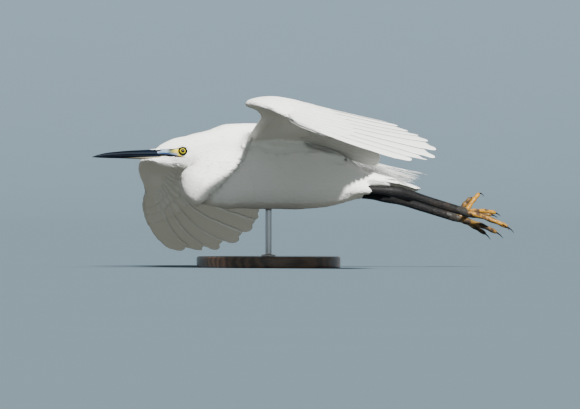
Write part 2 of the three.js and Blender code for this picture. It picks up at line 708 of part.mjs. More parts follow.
/** A foot of four toes, each with a hooked claw. */
function foot(mirror) {
  const root = new THREE.Vector3(TOE_ROOT.x, mirror * HIP_SIDE, TOE_ROOT.z);
  const toes = Object.values(TOES).flatMap(({ tip, radius, arch }) => {
    const clawTip = root.clone().add(new THREE.Vector3(tip[0], mirror * tip[1], tip[2]));
    const end = root.clone().lerp(clawTip, 1 - CLAW.share).add(new THREE.Vector3(0, 0, CLAW.hook));
    const middle = root.clone().lerp(end, 0.5).add(new THREE.Vector3(0, 0, arch));
    const toe = new THREE.QuadraticBezierCurve3(root, middle, end);
    const thickness = [[0, 1], [0.4, 0.85], [0.5, 1], [0.85, 0.82], [1, 0.66]];
    const crown = end.clone().addScaledVector(toe.getTangent(1), 0.6 * end.distanceTo(clawTip));
    const claw = new THREE.QuadraticBezierCurve3(toe.getPoint(0.95), crown, clawTip);
    return [
      taper(toe, (t) => radius * smooth(thickness, t), { sides: 6, rings: 5 }),
      taper(claw, (t) => lerp(CLAW.rootRadius, CLAW.tipRadius, t), { sides: 4, rings: 3 }),
    ];
  });
  const knuckle = ball(root, 4.4, [8, 6]);
  const end = root.clone().add(new THREE.Vector3(5 - GAP, 0, 0));
  return largest(keepSide(fuse([knuckle, ...toes]), new THREE.Vector3(-1, 0, 0), end));
}

/** The base of the stand, centred under the rod. */
function standBase() {
  const { radius, height, edge } = BASE;
  const profile = [[0, 0], [radius, 0], [radius, height - edge], [radius - edge, height], [0, height]];
  const turned = new THREE.LatheGeometry(profile.map(([r, z]) => new THREE.Vector2(r, z)), 32);
  return solidFromGeometry(turned.rotateX(Math.PI / 2));
}

/** Adds a solid to a group as a named mesh with its own material. */
function addPart(group, name, solid, { color, roughness, metalness = 0 }) {
  const mesh = solid.getMesh();
  const places = new Float32Array(mesh.numVert * 3);
  for (let i = 0; i < mesh.numVert; i += 1) {
    places.set(mesh.vertProperties.subarray(i * mesh.numProp, i * mesh.numProp + 3), i * 3);
  }
  const geometry = new THREE.BufferGeometry();
  geometry.setAttribute("position", new THREE.BufferAttribute(places, 3));
  geometry.setIndex(new THREE.BufferAttribute(mesh.triVerts, 1));
  geometry.computeVertexNormals();
  const part = new THREE.Mesh(geometry, new THREE.MeshStandardMaterial({ color, roughness, metalness }));
  part.name = name;
  group.add(part);
}

const group = new THREE.Group();
const bird = new THREE.Group();
bird.rotation.x = radians(BANK_DEGREES);
bird.position.set(-ROD_AT.x, -ROD_AT.y, SHOULDER_HEIGHT);
group.add(bird);

const headEnd = new THREE.Vector3(HEAD_END_X - GAP, 0, 0);
const torso = torsoBody(0).subtract(neckUpperBody(GAP)).subtract(neckLowerBody(GAP));
const neckUpper = keepSide(neckUpperBody(0), new THREE.Vector3(-1, 0, 0), headEnd);
const neckLower = neckLowerBody(0).subtract(neckUpperBody(GAP)).subtract(headBody(GAP));
addPart(bird, "torso", largest(torso), PLUMAGE);
addPart(bird, "neck_upper", largest(neckUpper), PLUMAGE);
addPart(bird, "neck_lower", largest(neckLower), PLUMAGE);
addPart(bird, "head", head(), PLUMAGE);
addPart(bird, "bill_upper", billUpper(), HORN);
addPart(bird, "bill_lower", largest(mandible(BILL_UNDER, -GAP / 2).subtract(headBody(GAP))), HORN);
addPart(bird, "tail", tail(), PLUMAGE);
addPart(bird, "back_plumes", backPlumes(), PLUMAGE);
for (const [side, mirror] of [["left", 1], ["right", -1]]) {
  const { arm, hand } = wing(side);
  const eye = ball(new THREE.Vector3(EYE.x, mirror * EYE.y, EYE.z), EYE.radius, [12, 8]);
  addPart(bird, `eye_${side}`, eye, IRIS);
  addPart(bird, `wing_${side}_arm`, arm, PLUMAGE);
  addPart(bird, `wing_${side}_hand`, hand, PLUMAGE);
  addPart(bird, `leg_${side}`, leg(mirror), SHANK);
  addPart(bird, `foot_${side}`, foot(mirror), TOE_SKIN);
}

bird.updateMatrixWorld(true);
const belly = torsoBody(GAP).transform(bird.matrixWorld.toArray());
const rodFoot = BASE.height + GAP;
const uprightRod = new THREE.CylinderGeometry(ROD_RADIUS, ROD_RADIUS, SHOULDER_HEIGHT - rodFoot, 16)
  .rotateX(Math.PI / 2)
  .translate(0, 0, (SHOULDER_HEIGHT + rodFoot) / 2);
addPart(group, "stand_base", standBase(), BASE_WOOD);
addPart(group, "stand_rod", largest(solidFromGeometry(uprightRod).subtract(belly)), ROD_STEEL);

export default group;
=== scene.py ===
"""A little egret in level flight, life size, on a round wooden base with one steel rod.

Sizes are millimetres in the bird's own frame: x forward to the bill, y to its left, z up, with the middle
of the shoulders at the origin. RowFrame turns them into metres in the row frame, where the bird is banked.
"""
import logging
import math
from collections.abc import Callable
from dataclasses import dataclass, field
from enum import Enum

import bpy
import numpy as np
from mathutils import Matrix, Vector
from mathutils.bvhtree import BVHTree
from mathutils.kdtree import KDTree


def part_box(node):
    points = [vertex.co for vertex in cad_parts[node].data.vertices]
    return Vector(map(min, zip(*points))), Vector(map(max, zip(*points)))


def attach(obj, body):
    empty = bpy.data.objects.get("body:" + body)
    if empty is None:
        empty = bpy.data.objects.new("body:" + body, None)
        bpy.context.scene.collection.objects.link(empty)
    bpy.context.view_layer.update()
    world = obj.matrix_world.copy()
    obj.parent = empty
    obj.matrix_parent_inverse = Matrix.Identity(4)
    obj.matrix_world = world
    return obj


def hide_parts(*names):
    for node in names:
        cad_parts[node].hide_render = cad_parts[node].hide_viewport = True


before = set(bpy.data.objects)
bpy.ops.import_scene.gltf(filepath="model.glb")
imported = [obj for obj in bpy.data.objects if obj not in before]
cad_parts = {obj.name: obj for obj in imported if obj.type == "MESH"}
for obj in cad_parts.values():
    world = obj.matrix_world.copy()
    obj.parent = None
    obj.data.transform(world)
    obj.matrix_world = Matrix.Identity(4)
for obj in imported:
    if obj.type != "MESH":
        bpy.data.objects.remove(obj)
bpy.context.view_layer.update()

LOG = logging.getLogger("egret")

Array = np.ndarray
Keys = tuple[tuple[float, float], ...]
Colour = tuple[float, float, float]
Station = tuple[float, float, float, float, float]
Pair = tuple[float, float]
Socket = bpy.types.NodeSocket
Input = Socket | float | Colour
Inputs = dict[str | int, Input]
Place = Callable[[Array, Array, Array], Array]
TailRow = tuple[int, Pair, Pair, Pair, float]

# Flesh bodies: place x, height z, half width, and height above and below the middle line
TORSO = (
    (40, -52, 11, 14, 20), (22, -38, 24, 36, 40), (-4, -27, 33.5, 50, 52), (-30, -26, 38, 53, 54),
    (-60, -28, 38.5, 51, 52), (-95, -33, 36, 46, 48), (-130, -41, 30, 38, 37), (-158, -47, 23, 25, 23),
    (-180, -50, 13, 12, 12),
)
FAIRING = (
    (14, -1, 5, 6, 6), (-20, 1, 11, 10, 12), (-70, -5, 13, 10, 14), (-120, -17, 10, 8, 12),
    (-158, -30, 5, 4, 6),
)
FAIRING_Y = 25.0
NECK_UPPER = (
    (76, -8, 14, 15, 18), (54, -6, 18, 20.5, 25), (28, -4, 24, 25.5, 30), (4, -4, 29.5, 33.5, 30),
    (-18, -6, 27, 30, 26),
)
NECK_LOWER = (
    (-4, -4, 24, 23, 23), (14, -20, 29, 27, 28), (31, -37, 29, 29, 28), (47, -52, 27, 29, 28),
    (62.5, -70, 20, 23, 22),
)
HEAD = (
    (112, -14, 3, 2, 3), (100, -10, 6.5, 8, 8.5), (91, -9, 10, 12.5, 12.5), (78, -8.5, 13.6, 17.5, 17.5),
    (64, -8, 15.6, 20, 21), (48, -7, 16, 21, 22),
)
TAIL_STEM = (
    (-146, -46, 16, 9, 6), (-172, -46, 15, 5, 4.5), (-192, -47.5, 14, 3.5, 3),
    (-210, -50, 11, 1.8, 1.8),
)
SADDLE = ((-22, 24, 12, 5, 12), (-60, 20, 18, 7, 14), (-105, 5, 17, 9, 14), (-145, -16, 12, 8, 10))
NECK_FILL = ((58, -22, 17, 14, 16), (40, -20, 23, 16, 18), (20, -16, 27, 18, 20), (0, -12, 29, 18, 20))
BREAST = (
    (50, -66, 8, 12, 14), (40, -58, 18, 24, 25), (28, -50, 25, 30, 34.5), (10, -42, 29.5, 34, 39.5),
    (-20, -34, 33, 40, 46), (-60, -30, 33, 36, 46),
)
CHIN = (
    (122, -17, 1.9, 0.8, 1.0), (112, -17.2, 3.4, 1.4, 2.2), (101, -18, 5.2, 2.4, 5.2),
    (91, -18, 8, 5, 7.6), (80, -16, 10.5, 9, 10.5),
)
ARMPIT = (
    (8, -7, 6, 5, 6), (-20, -7, 9, 5, 9), (-70, -10, 10, 5, 10), (-120, -20, 8, 5, 8),
    (-150, -32, 5, 4, 6),
)
ARMPIT_Y = 36.0
THIGH = (
    (-108, -54, 13, 16, 16), (-135, -54.5, 11, 12, 12), (-160, -56.5, 8, 8.5, 8),
    (-178, -58.6, 5.6, 5.8, 5.8),
)
THIGH_Y = 14.0
MANTLE = (
    (14, -2, 20, 25, 20), (-8, 1, 24, 28, 20), (-40, 2.5, 26, 26, 24), (-84, -1, 24, 23.5, 24),
    (-120, -15, 20, 20, 20),
)
RUMP = ((-140, -40, 24, 20, 14), (-165, -44, 20, 12, 12), (-190, -46, 16, 8, 8), (-210, -50, 12, 5, 4))
LORE_TOP: Keys = ((66, -14.6), (72, -12.0), (76, -7.2), (85, -6.3), (95, -5.4), (100, -5.2), (106, -8.0))
LORE_LOW: Keys = ((66, -17.4), (76, -17.4), (85, -16.6), (95, -15.2), (106, -14.0))
EYE_PLACE = (71.5, 10.2, -9.6)
EYE_AXIS = (0.16, 1.0, 0.06)

# Width of one feather's patch on the bake map
PATCH = 0.003

# Depth of the plumage over the skin, and the size of a body feather, by x along the bird
COAT_DEPTH: Keys = (
    (-210, 1.2), (-180, 2.2), (-140, 3.0), (-60, 3.2), (0, 3.0), (30, 2.5), (60, 1.7), (80, 1.1),
    (95, 0.8), (112, 0.5),
)
FEATHER_LENGTH: Keys = (
    (-210, 24), (-160, 22), (-110, 19), (-40, 16), (0, 13), (30, 10), (55, 7.5), (72, 5.0),
    (90, 3.6), (112, 3.6),
)


class Side(Enum):
    """A side of the bird, by the sign of y there."""

    LEFT = 1
    RIGHT = -1


@dataclass(frozen=True)
class RowFrame:
    """Banks the bird and lifts it over its base."""

    bank_degrees: float = 11.5
    rod_x: float = -45.0
    rod_y: float = 10.4
    shoulder_height: float = 152.0

    def turned(self, bird: Array) -> Array:
        """Directions of the bird's frame, in the row frame.

        Args:
            bird: the directions.

        Returns:
            The same, banked.
        """
        bank = math.radians(self.bank_degrees)
        y = bird[..., 1] * math.cos(bank) - bird[..., 2] * math.sin(bank)
        z = bird[..., 1] * math.sin(bank) + bird[..., 2] * math.cos(bank)
        return np.stack([bird[..., 0], y, z], axis=-1)

    def metres(self, bird: Array) -> Array:
        """Places in the bird's frame, as metres in the row frame."""
        return (self.turned(bird) + np.array([-self.rod_x, -self.rod_y, self.shoulder_height])) / 1000


ROW = RowFrame()


def smooth(keys: Keys, t: Array | float) -> Array:
    """The values at t of a smooth curve through (t, value) pairs in rising order of t.

    Args:
        keys: the pairs.
        t: one place or many.

    Returns:
        One value for each place.
    """
    at = np.array([key[0] for key in keys], float)
    value = np.array([key[1] for key in keys], float)
    slope = np.empty_like(value)
    slope[1:-1] = (value[2:] - value[:-2]) / (at[2:] - at[:-2])
    slope[0] = (value[1] - value[0]) / (at[1] - at[0])
    slope[-1] = (value[-1] - value[-2]) / (at[-1] - at[-2])
    t = np.clip(np.asarray(t, float), at[0], at[-1])
    i = np.clip(np.searchsorted(at, t, side="right") - 1, 0, len(at) - 2)
    span = at[i + 1] - at[i]
    f = (t - at[i]) / span
    return (
        (2 * f**3 - 3 * f**2 + 1) * value[i]
        + (f**3 - 2 * f**2 + f) * span * slope[i]
        + (3 * f**2 - 2 * f**3) * value[i + 1]
        + (f**3 - f**2) * span * slope[i + 1]
    )


def ease(t: Array) -> Array:
    """Slow at both ends between 0 and 1."""
    t = np.clip(t, 0, 1)
    return t * t * (3 - 2 * t)


def mixed(a: Array, b: Array, t: Array) -> Array:
    """Part t of the way from a to b."""
    return a + (b - a) * t


def unit(v: Array) -> Array:
    """Vectors brought to length 1."""
    return v / np.maximum(np.linalg.norm(v, axis=-1, keepdims=True), 1e-9)


@dataclass
class Surface:
    """Points and faces of one piece, with what each point carries.

    Attributes:
        points: places in millimetres in the bird's frame.
        faces: arrays of corner numbers, each of faces with the same number of corners.
        carried: values by name, one for each point.
        normals: shading normals for each point, or None for the mesh's own.
        patch: each point's place on the bake map, or None.
    """

    points: Array
    faces: list[Array]
    carried: dict[str, Array] = field(default_factory=dict)
    normals: Array | None = None
    patch: Array | None = None

    @staticmethod
    def joined(parts: list["Surface"]) -> "Surface":
        """Several surfaces as one.

        Args:
            parts: the surfaces.

        Returns:
            All of them, with what each carries.
        """
        starts = np.cumsum([0] + [len(p.points) for p in parts[:-1]])
        names = sorted({name for p in parts for name in p.carried})
        values = {n: [p.carried.get(n, np.zeros(len(p.points))) for p in parts] for n in names}
        whole = all(p.normals is not None for p in parts)
        mapped = all(p.patch is not None for p in parts)
        return Surface(
            np.concatenate([p.points for p in parts]),
            [f + start for p, start in zip(parts, starts) for f in p.faces],
            {n: np.concatenate(v) for n, v in values.items()},
            np.concatenate([p.normals for p in parts]) if whole else None,
            np.concatenate([p.patch for p in parts]) if mapped else None,
        )

    def made(self, name: str, material: bpy.types.Material) -> bpy.types.Object:
        """The surface as a scene object.

        Args:
            name: the object's name.
            material: its finish.

        Returns:
            The object, linked to the scene, in metres in the row frame.
        """
        places = ROW.metres(self.points).astype(np.float32)
        mesh = mesh_from(name, places, self.faces)
        for label, values in self.carried.items():
            layer = mesh.attributes.new(label, "FLOAT", "POINT")
            layer.data.foreach_set("value", values.astype(np.float32))
        if self.patch is not None:
            corners = np.concatenate([f.ravel() for f in self.faces])
            layer = mesh.uv_layers.new(name="OFBake")
            layer.data.foreach_set("uv", self.patch[corners].astype(np.float32).ravel())
        if self.normals is not None:
            mesh.normals_split_custom_set(ROW.turned(self.corner_normals()))
        mesh.materials.append(material)
        return placed(name, mesh)

    def corner_normals(self) -> Array:
        """Shading normals corner by corner; a face that looks another way keeps its own.

        Returns:
            One direction for each corner of each face.
        """
        made = []
        for f in self.faces:
            p, n = self.points[f], unit(self.normals[f])
            own = unit(np.cross(p[:, 2] - p[:, 0], p[:, -1] - p[:, 1]))
            apart = np.einsum("ij,ij->i", own, unit(n.mean(axis=1))) < 0.3
            made.append(np.where(apart[:, None, None], own[:, None], n).reshape(-1, 3))
        return np.concatenate(made)


def mesh_from(name: str, places: Array, faces: list[Array]) -> bpy.types.Mesh:
    """A smooth shaded mesh from arrays.

    Args:
        name: the mesh's name.
        places: one row of three numbers for each point.
        faces: arrays of corner numbers.

    Returns:
        The mesh.
    """
    corners = np.concatenate([f.ravel() for f in faces]).astype(np.int32)
    counts = np.concatenate([np.full(len(f), f.shape[1]) for f in faces])
    starts = np.concatenate([[0], np.cumsum(counts)[:-1]]).astype(np.int32)
    mesh = bpy.data.meshes.new(name)
    mesh.vertices.add(len(places))
    mesh.vertices.foreach_set("co", np.ascontiguousarray(places, np.float32).ravel())
    mesh.loops.add(len(corners))
    mesh.loops.foreach_set("vertex_index", corners)
    mesh.polygons.add(len(starts))
    mesh.polygons.foreach_set("loop_start", starts)
    mesh.polygons.foreach_set("use_smooth", np.ones(len(starts), bool))
    mesh.update(calc_edges=True)
    return mesh


def placed(name: str, data: bpy.types.ID) -> bpy.types.Object:
    """A new object of the scene with that data."""
    piece = bpy.data.objects.new(name, data)
    bpy.context.scene.collection.objects.link(piece)
    return piece


def settle(piece: bpy.types.Object, slot: str, *nodes: str) -> bpy.types.Object:
    """Fixes a piece to the model's body.

    Args:
        piece: the piece.
        slot: its material slot; not used.
        nodes: the nodes that it takes the place of.

    Returns:
        The piece.
    """
    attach(piece, "root")
    if nodes:
        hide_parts(*nodes)
    LOG.info("%s: %d faces", piece.name, len(piece.data.polygons))
    return piece


def rings_surface(rings: Array) -> Surface:
    """A closed body through rings of points.

    Args:
        rings: rings by corners by three numbers.

    Returns:
        The body, with carried values along, the share of its length, and around, the share of a turn.
    """
    count, sides = rings.shape[:2]
    k, j = np.meshgrid(np.arange(count - 1), np.arange(sides), indexing="ij")
    a = (k * sides + j).ravel()
    b = (k * sides + (j + 1) % sides).ravel()
    quads = np.stack([a, b, b + sides, a + sides], axis=1)
    ends = [np.arange(sides)[::-1][None, :], (np.arange(sides) + (count - 1) * sides)[None, :]]
    points = rings.reshape(-1, 3)
    along = np.repeat(np.linspace(0, 1, count), sides)
    around = np.tile(np.arange(sides) / sides, count)
    return facing_out(Surface(points, [quads, *ends], {"along": along, "around": around}))


def volume(surface: Surface) -> float:
    """The signed volume of a closed surface, by its fans of triangles.

    Args:
        surface: the surface.

    Returns:
        The volume, less than nothing where the faces look inwards.
    """
    total = 0.0
    for f in surface.faces:
        p = surface.points[f]
        for c in range(1, f.shape[1] - 1):
            total += float(np.einsum("ij,ij->", p[:, 0], np.cross(p[:, c], p[:, c + 1]))) / 6
    return total


def facing_out(surface: Surface) -> Surface:
    """The same closed surface, its faces turned over if they look inwards."""
    surface.faces = surface.faces if volume(surface) > 0 else [f[:, ::-1] for f in surface.faces]
    return surface


def whole_turn(count: int) -> Array:
    """Angles evenly round a circle."""
    return np.linspace(0, 2 * np.pi, count, endpoint=False)


def both_faces(values: Array) -> Array:
    """Values for the points of both faces of a thin body."""
    return np.tile(values.reshape(-1), 2)


def slab(top: Array, under: Array, carried: dict[str, Array]) -> Surface:
    """A closed thin body between two grids of points."""
    points = np.concatenate([top.reshape(-1, 3), under.reshape(-1, 3)])
    return facing_out(Surface(points, grid_faces(*top.shape[:2]), carried))


def at_x(stations: tuple[Station, ...], x: Array | float) -> list[Array]:
    """The middle height, half width and heights above and below of a body of stations, at x."""
    rising = stations[::-1]
    return [smooth(tuple((s[0], s[c]) for s in rising), x) for c in range(1, 5)]


def tube_surface(path: Array, radius: Array, sides: int = 12, flat: float = 1.0) -> Surface:
    """A tapering tube along a path.

    Args:
        path: points along the middle.
        radius: the radius at each point.
        sides: corners of each ring.
        flat: width across y as a share of the height.

    Returns:
        The closed tube.
    """
    along = unit(np.gradient(path, axis=0))
    across = np.array([0.0, 1.0, 0.0]) - along * along[:, 1:2]
    across = unit(across)
    upward = np.cross(along, across)
    turn = whole_turn(sides)
    size = np.asarray(radius)[:, None, None]
    wide = across[:, None] * np.cos(turn)[None, :, None] * flat
    return rings_surface(path[:, None] + (wide + upward[:, None] * np.sin(turn)[None, :, None]) * size)


def bezier(points: Array, count: int) -> Array:
    """Points along the curve of three control points."""
    t = np.linspace(0, 1, count)[:, None]
    return (1 - t) ** 2 * points[0] + 2 * t * (1 - t) * points[1] + t**2 * points[2]


def through(points: Array, count: int) -> Array:
    """Points along a smooth curve that passes through the given ones."""
    at = np.linspace(0, len(points) - 1, count)
    return np.stack([smooth(tuple(enumerate(points[:, axis])), at) for axis in range(3)], axis=1)


def flesh_surface(
    stations: tuple[Station, ...], sides: int, rings: int, blunt: Pair, y: float, share: float
) -> Surface:
    """A rounded body through stations, sunk by the plumage's depth.

    Args:
        stations: place, half width and heights, from front to back.
        sides: corners of each ring.
        rings: rings along the body.
        blunt: share of the length over which each end rounds off.
        y: sideways place of the middle line.
        share: share of the plumage's depth taken off.

    Returns:
        The closed body.
    """
    k = np.arange(rings + 1) / rings
    t = mixed((1 - np.cos(np.pi * k)) / 2, k, 0.5)
    column = [tuple(enumerate(s[c] for s in stations)) for c in range(5)]
    at = t * (len(stations) - 1)
    x, z, w, up, down = (smooth(c, at) for c in column)
    step = 0.02 * (len(stations) - 1)
    ahead = np.stack([smooth(column[c], at + step) - smooth(column[c], at - step) for c in (0, 1)], axis=1)
    ahead = unit(ahead)
    upward = np.stack([ahead[:, 1], -ahead[:, 0]], axis=1)
    upward *= np.where(upward[:, 1:] < 0, -1, 1)
    front = np.sqrt(1 - 0.97 * (1 - np.clip(t / blunt[0], 0, 1)) ** 2)
    back = np.sqrt(1 - 0.97 * (1 - np.clip((1 - t) / blunt[1], 0, 1)) ** 2)
    size = front * back
    sunk = smooth(COAT_DEPTH, x) * share
    turn = whole_turn(sides)
    half = np.where(np.sin(turn)[None] > 0, up[:, None], down[:, None])
    wide = np.maximum(w * size - sunk, 0.3)[:, None] * np.cos(turn)
    tall = np.maximum(half * size[:, None] - sunk[:, None], 0.3) * np.sin(turn)
    shift = np.zeros(rings + 1)
    shift[0], shift[-1] = sunk[0], -sunk[-1]
    points = np.stack(
        [
            x[:, None] + tall * upward[:, :1] + (shift * ahead[:, 0])[:, None],
            y + wide,
            z[:, None] + tall * upward[:, 1:] + (shift * ahead[:, 1])[:, None],
        ],
        axis=-1,
    )
    return rings_surface(points)


def fill(tree: bpy.types.NodeTree, socket: Socket, value: Input) -> None:
    """Gives a node's input a value.

    Args:
        tree: the tree of nodes.
        socket: the input.
        value: another node's output, a number or a colour.
    """
    if isinstance(value, Socket):
        tree.links.new(value, socket)
    else:
        socket.default_value = (*value, 1) if socket.type == "RGBA" else value


def add_node(
    tree: bpy.types.NodeTree, kind: str, out: str | int, inputs: Inputs | None = None, **settings: str
) -> Socket:
    """A new node.

    Args:
        tree: the tree of nodes it joins.
        kind: Blender's name of it.
        out: which output is wanted.
        inputs: what its inputs take.
        settings: its other settings.

    Returns:
        The output.
    """
    node = tree.nodes.new(kind)
    for name, value in settings.items():
        setattr(node, name, value)
    for name, value in (inputs or {}).items():
        fill(tree, node.inputs[name], value)
    return node.outputs[out]


def add_ramp(tree: bpy.types.NodeTree, share: Socket, stops: tuple[tuple[float, Colour], ...]) -> Socket:
    """A ramp of colours.

    Args:
        tree: the tree of nodes it joins.
        share: where on the ramp each spot is.
        stops: places from 0 to 1, and the colours there.

    Returns:
        The colour at share.
    """
    node = tree.nodes.new("ShaderNodeValToRGB")
    bands = node.color_ramp.elements
    while len(bands) < len(stops):
        bands.new(0.5)
    for band, (at, colour) in zip(bands, stops):
        band.position = at
        band.color = (*colour, 1)
    tree.links.new(share, node.inputs["Fac"])
    return node.outputs["Color"]


@dataclass
class Finish:
    """A procedural finish; each kind builds its own nodes in dress."""

    name: str

    def __post_init__(self) -> None:
        """Starts a material with a bare shader and dresses it."""
        self.material = bpy.data.materials.new(self.name)
        self.material.use_nodes = True
        self.tree = self.material.node_tree
        self.shader = self.tree.nodes["Principled BSDF"]
        self.dress()

    def dress(self) -> None:
        """Builds the finish; the bare kind has nothing to add."""

    def carried(self, name: str) -> Socket:
        """The value of that name that the points carry."""
        return add_node(self.tree, "ShaderNodeAttribute", "Fac", attribute_name=name)

    def place(self, scale: Colour = (1, 1, 1)) -> Socket:
        """The piece's own coordinates, in metres, scaled."""
        own = add_node(self.tree, "ShaderNodeTexCoord", "Object")
        return add_node(self.tree, "ShaderNodeMapping", "Vector", {"Vector": own, "Scale": scale})

    def noise(self, scale: float, detail: float = 3, stretch: Colour = (1, 1, 1)) -> Socket:
        """Cloudy noise with that many cells a metre."""
        inputs = {"Scale": scale, "Detail": detail, "Vector": self.place(stretch)}
        return add_node(self.tree, "ShaderNodeTexNoise", "Fac", inputs)

    def cells(self, scale: float, stretch: Colour = (1, 1, 1)) -> Socket:
        """Distance to the edge of irregular cells."""
        inputs = {"Scale": scale, "Vector": self.place(stretch)}
        return add_node(self.tree, "ShaderNodeTexVoronoi", "Distance", inputs, feature="DISTANCE_TO_EDGE")

    def maths(self, operation: str, a: Input, b: Input = 0.0) -> Socket:
        """Two values combined; each is a socket or a number."""
        return add_node(self.tree, "ShaderNodeMath", 0, {0: a, 1: b}, operation=operation)

    def span(self, value: Socket, low: float, high: float) -> Socket:
        """Value brought to 0 at low and 1 at high."""
        inputs = {"Value": value, "From Min": low, "From Max": high}
        return add_node(self.tree, "ShaderNodeMapRange", "Result", inputs, interpolation_type="SMOOTHSTEP")

    def blend(self, share: Socket, a: Input, b: Input) -> Socket:
        """Colour a where share is 0 and b where it is 1; each is a socket or a colour."""
        return add_node(self.tree, "ShaderNodeMix", 2, {0: share, 6: a, 7: b}, data_type="RGBA")

    def bump(self, height: Socket, distance: float) -> None:
        """Raises the surface by height times that many metres."""
        raised = add_node(self.tree, "ShaderNodeBump", "Normal", {"Distance": distance, "Height": height})
        self.tree.links.new(raised, self.shader.inputs["Normal"])

    def set(self, **values: Input) -> None:
        """Numbers, colours or sockets for the shader's own sockets, by name with underscores."""
        for name, value in values.items():
            fill(self.tree, self.shader.inputs[name.replace("_", " ")], value)


@dataclass
class Plumage(Finish):
    """White plumage, brightest at the feathers' ends and greyer down to their roots, with fine barbs; the
    grey roots are painted shade where the feathers overlap.
    """

    bright: Colour = (0.86, 0.865, 0.85)
    # Painted shade: the grey of the feathers' roots, deep in the coat where the feathers overlap.
    root: Colour = (0.76, 0.76, 0.74)
    warm: Colour = (0.84, 0.82, 0.76)
    warmth: float = 0.35
    barb_lift: float = 0.00006
    sheen: float = 0.12

    def dress(self) -> None:
        """Builds the self."""
        patches = self.span(self.noise(22, 4), 0.42, 0.75)
        aged = self.blend(self.maths("MULTIPLY", patches, self.warmth), self.bright, self.warm)
        toned = self.blend(self.maths("MULTIPLY", self.carried("tint"), 0.15), aged, self.warm)
        # Painted shade: greyer towards each feather's root, where the others cover it.
        depth = self.span(self.carried("rise"), 0.0, 0.7)
        self.set(Base_Color=self.blend(depth, self.root, toned))
        self.set(Roughness=0.78, Sheen_Weight=self.sheen, Sheen_Roughness=0.5, Specular_IOR_Level=0.25)
        barbs = self.maths("SINE", self.carried("barb"))
        self.bump(barbs, self.barb_lift)


@dataclass
class SkinFinish(Finish):
    """The pale downy skin under the plumage."""

    name: str = "down_and_skin"

    def dress(self) -> None:
        """Builds the self."""
        cloud = self.noise(60, 4)
        self.set(Base_Color=self.blend(cloud, (0.74, 0.73, 0.70), (0.82, 0.82, 0.80)), Roughness=0.9)
        self.bump(self.noise(900, 2), 0.0004)


@dataclass
class HornFinish(Finish):
    """Black horn, blue where it shines and paler at a base, with fine growth lines along it."""

    name: str = "bill_horn"
    dark: Colour = (0.0010, 0.0018, 0.0038)
    mid: Colour = (0.002, 0.004, 0.010)
    base: Colour = (0.002, 0.004, 0.010)
    base_end: float = 0.7
    shine: float = 0.06

    def dress(self) -> None:
        """Builds the self."""
        streaks = self.noise(90, 5, (0.12, 1, 1))
        horn = self.blend(self.span(streaks, 0.4, 0.7), self.dark, self.mid)
        worn = self.maths("ADD", self.carried("along"), self.maths("MULTIPLY", streaks, 0.12))
        near = self.maths("SUBTRACT", 1.0, self.span(worn, 0.25, self.base_end))
        under = self.maths("SUBTRACT", self.carried("depth"), self.maths("MULTIPLY", worn, 0.95))
        low = self.maths("MULTIPLY", near, self.span(under, 0.08, 0.34))
        self.set(Base_Color=self.blend(low, horn, self.base), Specular_IOR_Level=self.shine)
        rough = self.maths("ADD", self.maths("MULTIPLY", streaks, 0.25), 0.34)
        self.set(Roughness=rough, Specular_Tint=(0.6, 0.78, 1.0))
        self.bump(self.noise(700, 3, (0.06, 1, 1)), 0.00012)


@dataclass
class EyeFinish(Finish):
    """Yellow iris with fine spokes round a black pupil, under a wet clear surface."""

    name: str = "egret_eye"
    pupil: float = 0.45
    iris: float = 0.67

    def dress(self) -> None:
        """Builds the self."""
        out = self.carried("out")
        spokes = self.carried("spoke")
        yellow = self.blend(spokes, (0.38, 0.32, 0.003), (0.46, 0.43, 0.012))
        ring = self.blend(self.span(out, self.iris - 0.08, self.iris), yellow, (0.20, 0.13, 0.004))
        edge = self.blend(self.span(out, self.iris, self.iris + 0.05), ring, (0.008, 0.007, 0.006))
        hole = self.span(out, self.pupil, self.pupil + 0.04)
        self.set(Base_Color=self.blend(hole, (0.002, 0.002, 0.002), edge))
        self.set(Roughness=0.3, Coat_Weight=0.12, Coat_Roughness=0.02, Specular_IOR_Level=0.2)


@dataclass
class FaceSkin(Finish):
    """Bare skin between bill and eye: pale blue grey, yellow by the eye, finely pebbled."""

    name: str = "bare_face_skin"

    def dress(self) -> None:
        """Builds the self."""
        mottle = self.noise(350, 4)
        shift = self.maths("ADD", self.carried("toward_eye"), self.maths("MULTIPLY", mottle, 0.08))
        upper = add_ramp(self.tree, shift, (
            (0.12, (0.17, 0.22, 0.32)), (0.38, (0.20, 0.26, 0.34)), (0.50, (0.07, 0.09, 0.06)),
            (0.62, (0.16, 0.17, 0.02)), (0.73, (0.50, 0.38, 0.004)), (1.0, (0.52, 0.40, 0.004)),
        ))
        lower = add_ramp(self.tree, shift, (
            (0.02, (0.03, 0.11, 0.20)), (0.25, (0.009, 0.055, 0.15)), (0.45, (0.006, 0.028, 0.09)),
            (0.60, (0.08, 0.12, 0.20)), (0.78, (0.18, 0.20, 0.22)), (0.88, (0.50, 0.38, 0.004)),
        ))
        level = self.maths("ADD", self.carried("level"), self.maths("MULTIPLY", mottle, 0.08))
        skin = self.blend(self.span(level, 0.50, 0.62), lower, upper)
        skin = self.blend(self.carried("gape"), skin, (0.002, 0.003, 0.009))
        skin = self.blend(self.carried("rim"), skin, (0.30, 0.17, 0.02))
        self.set(Base_Color=skin, Roughness=0.5, Specular_IOR_Level=0.2)
        self.bump(self.cells(2600), 0.0001)


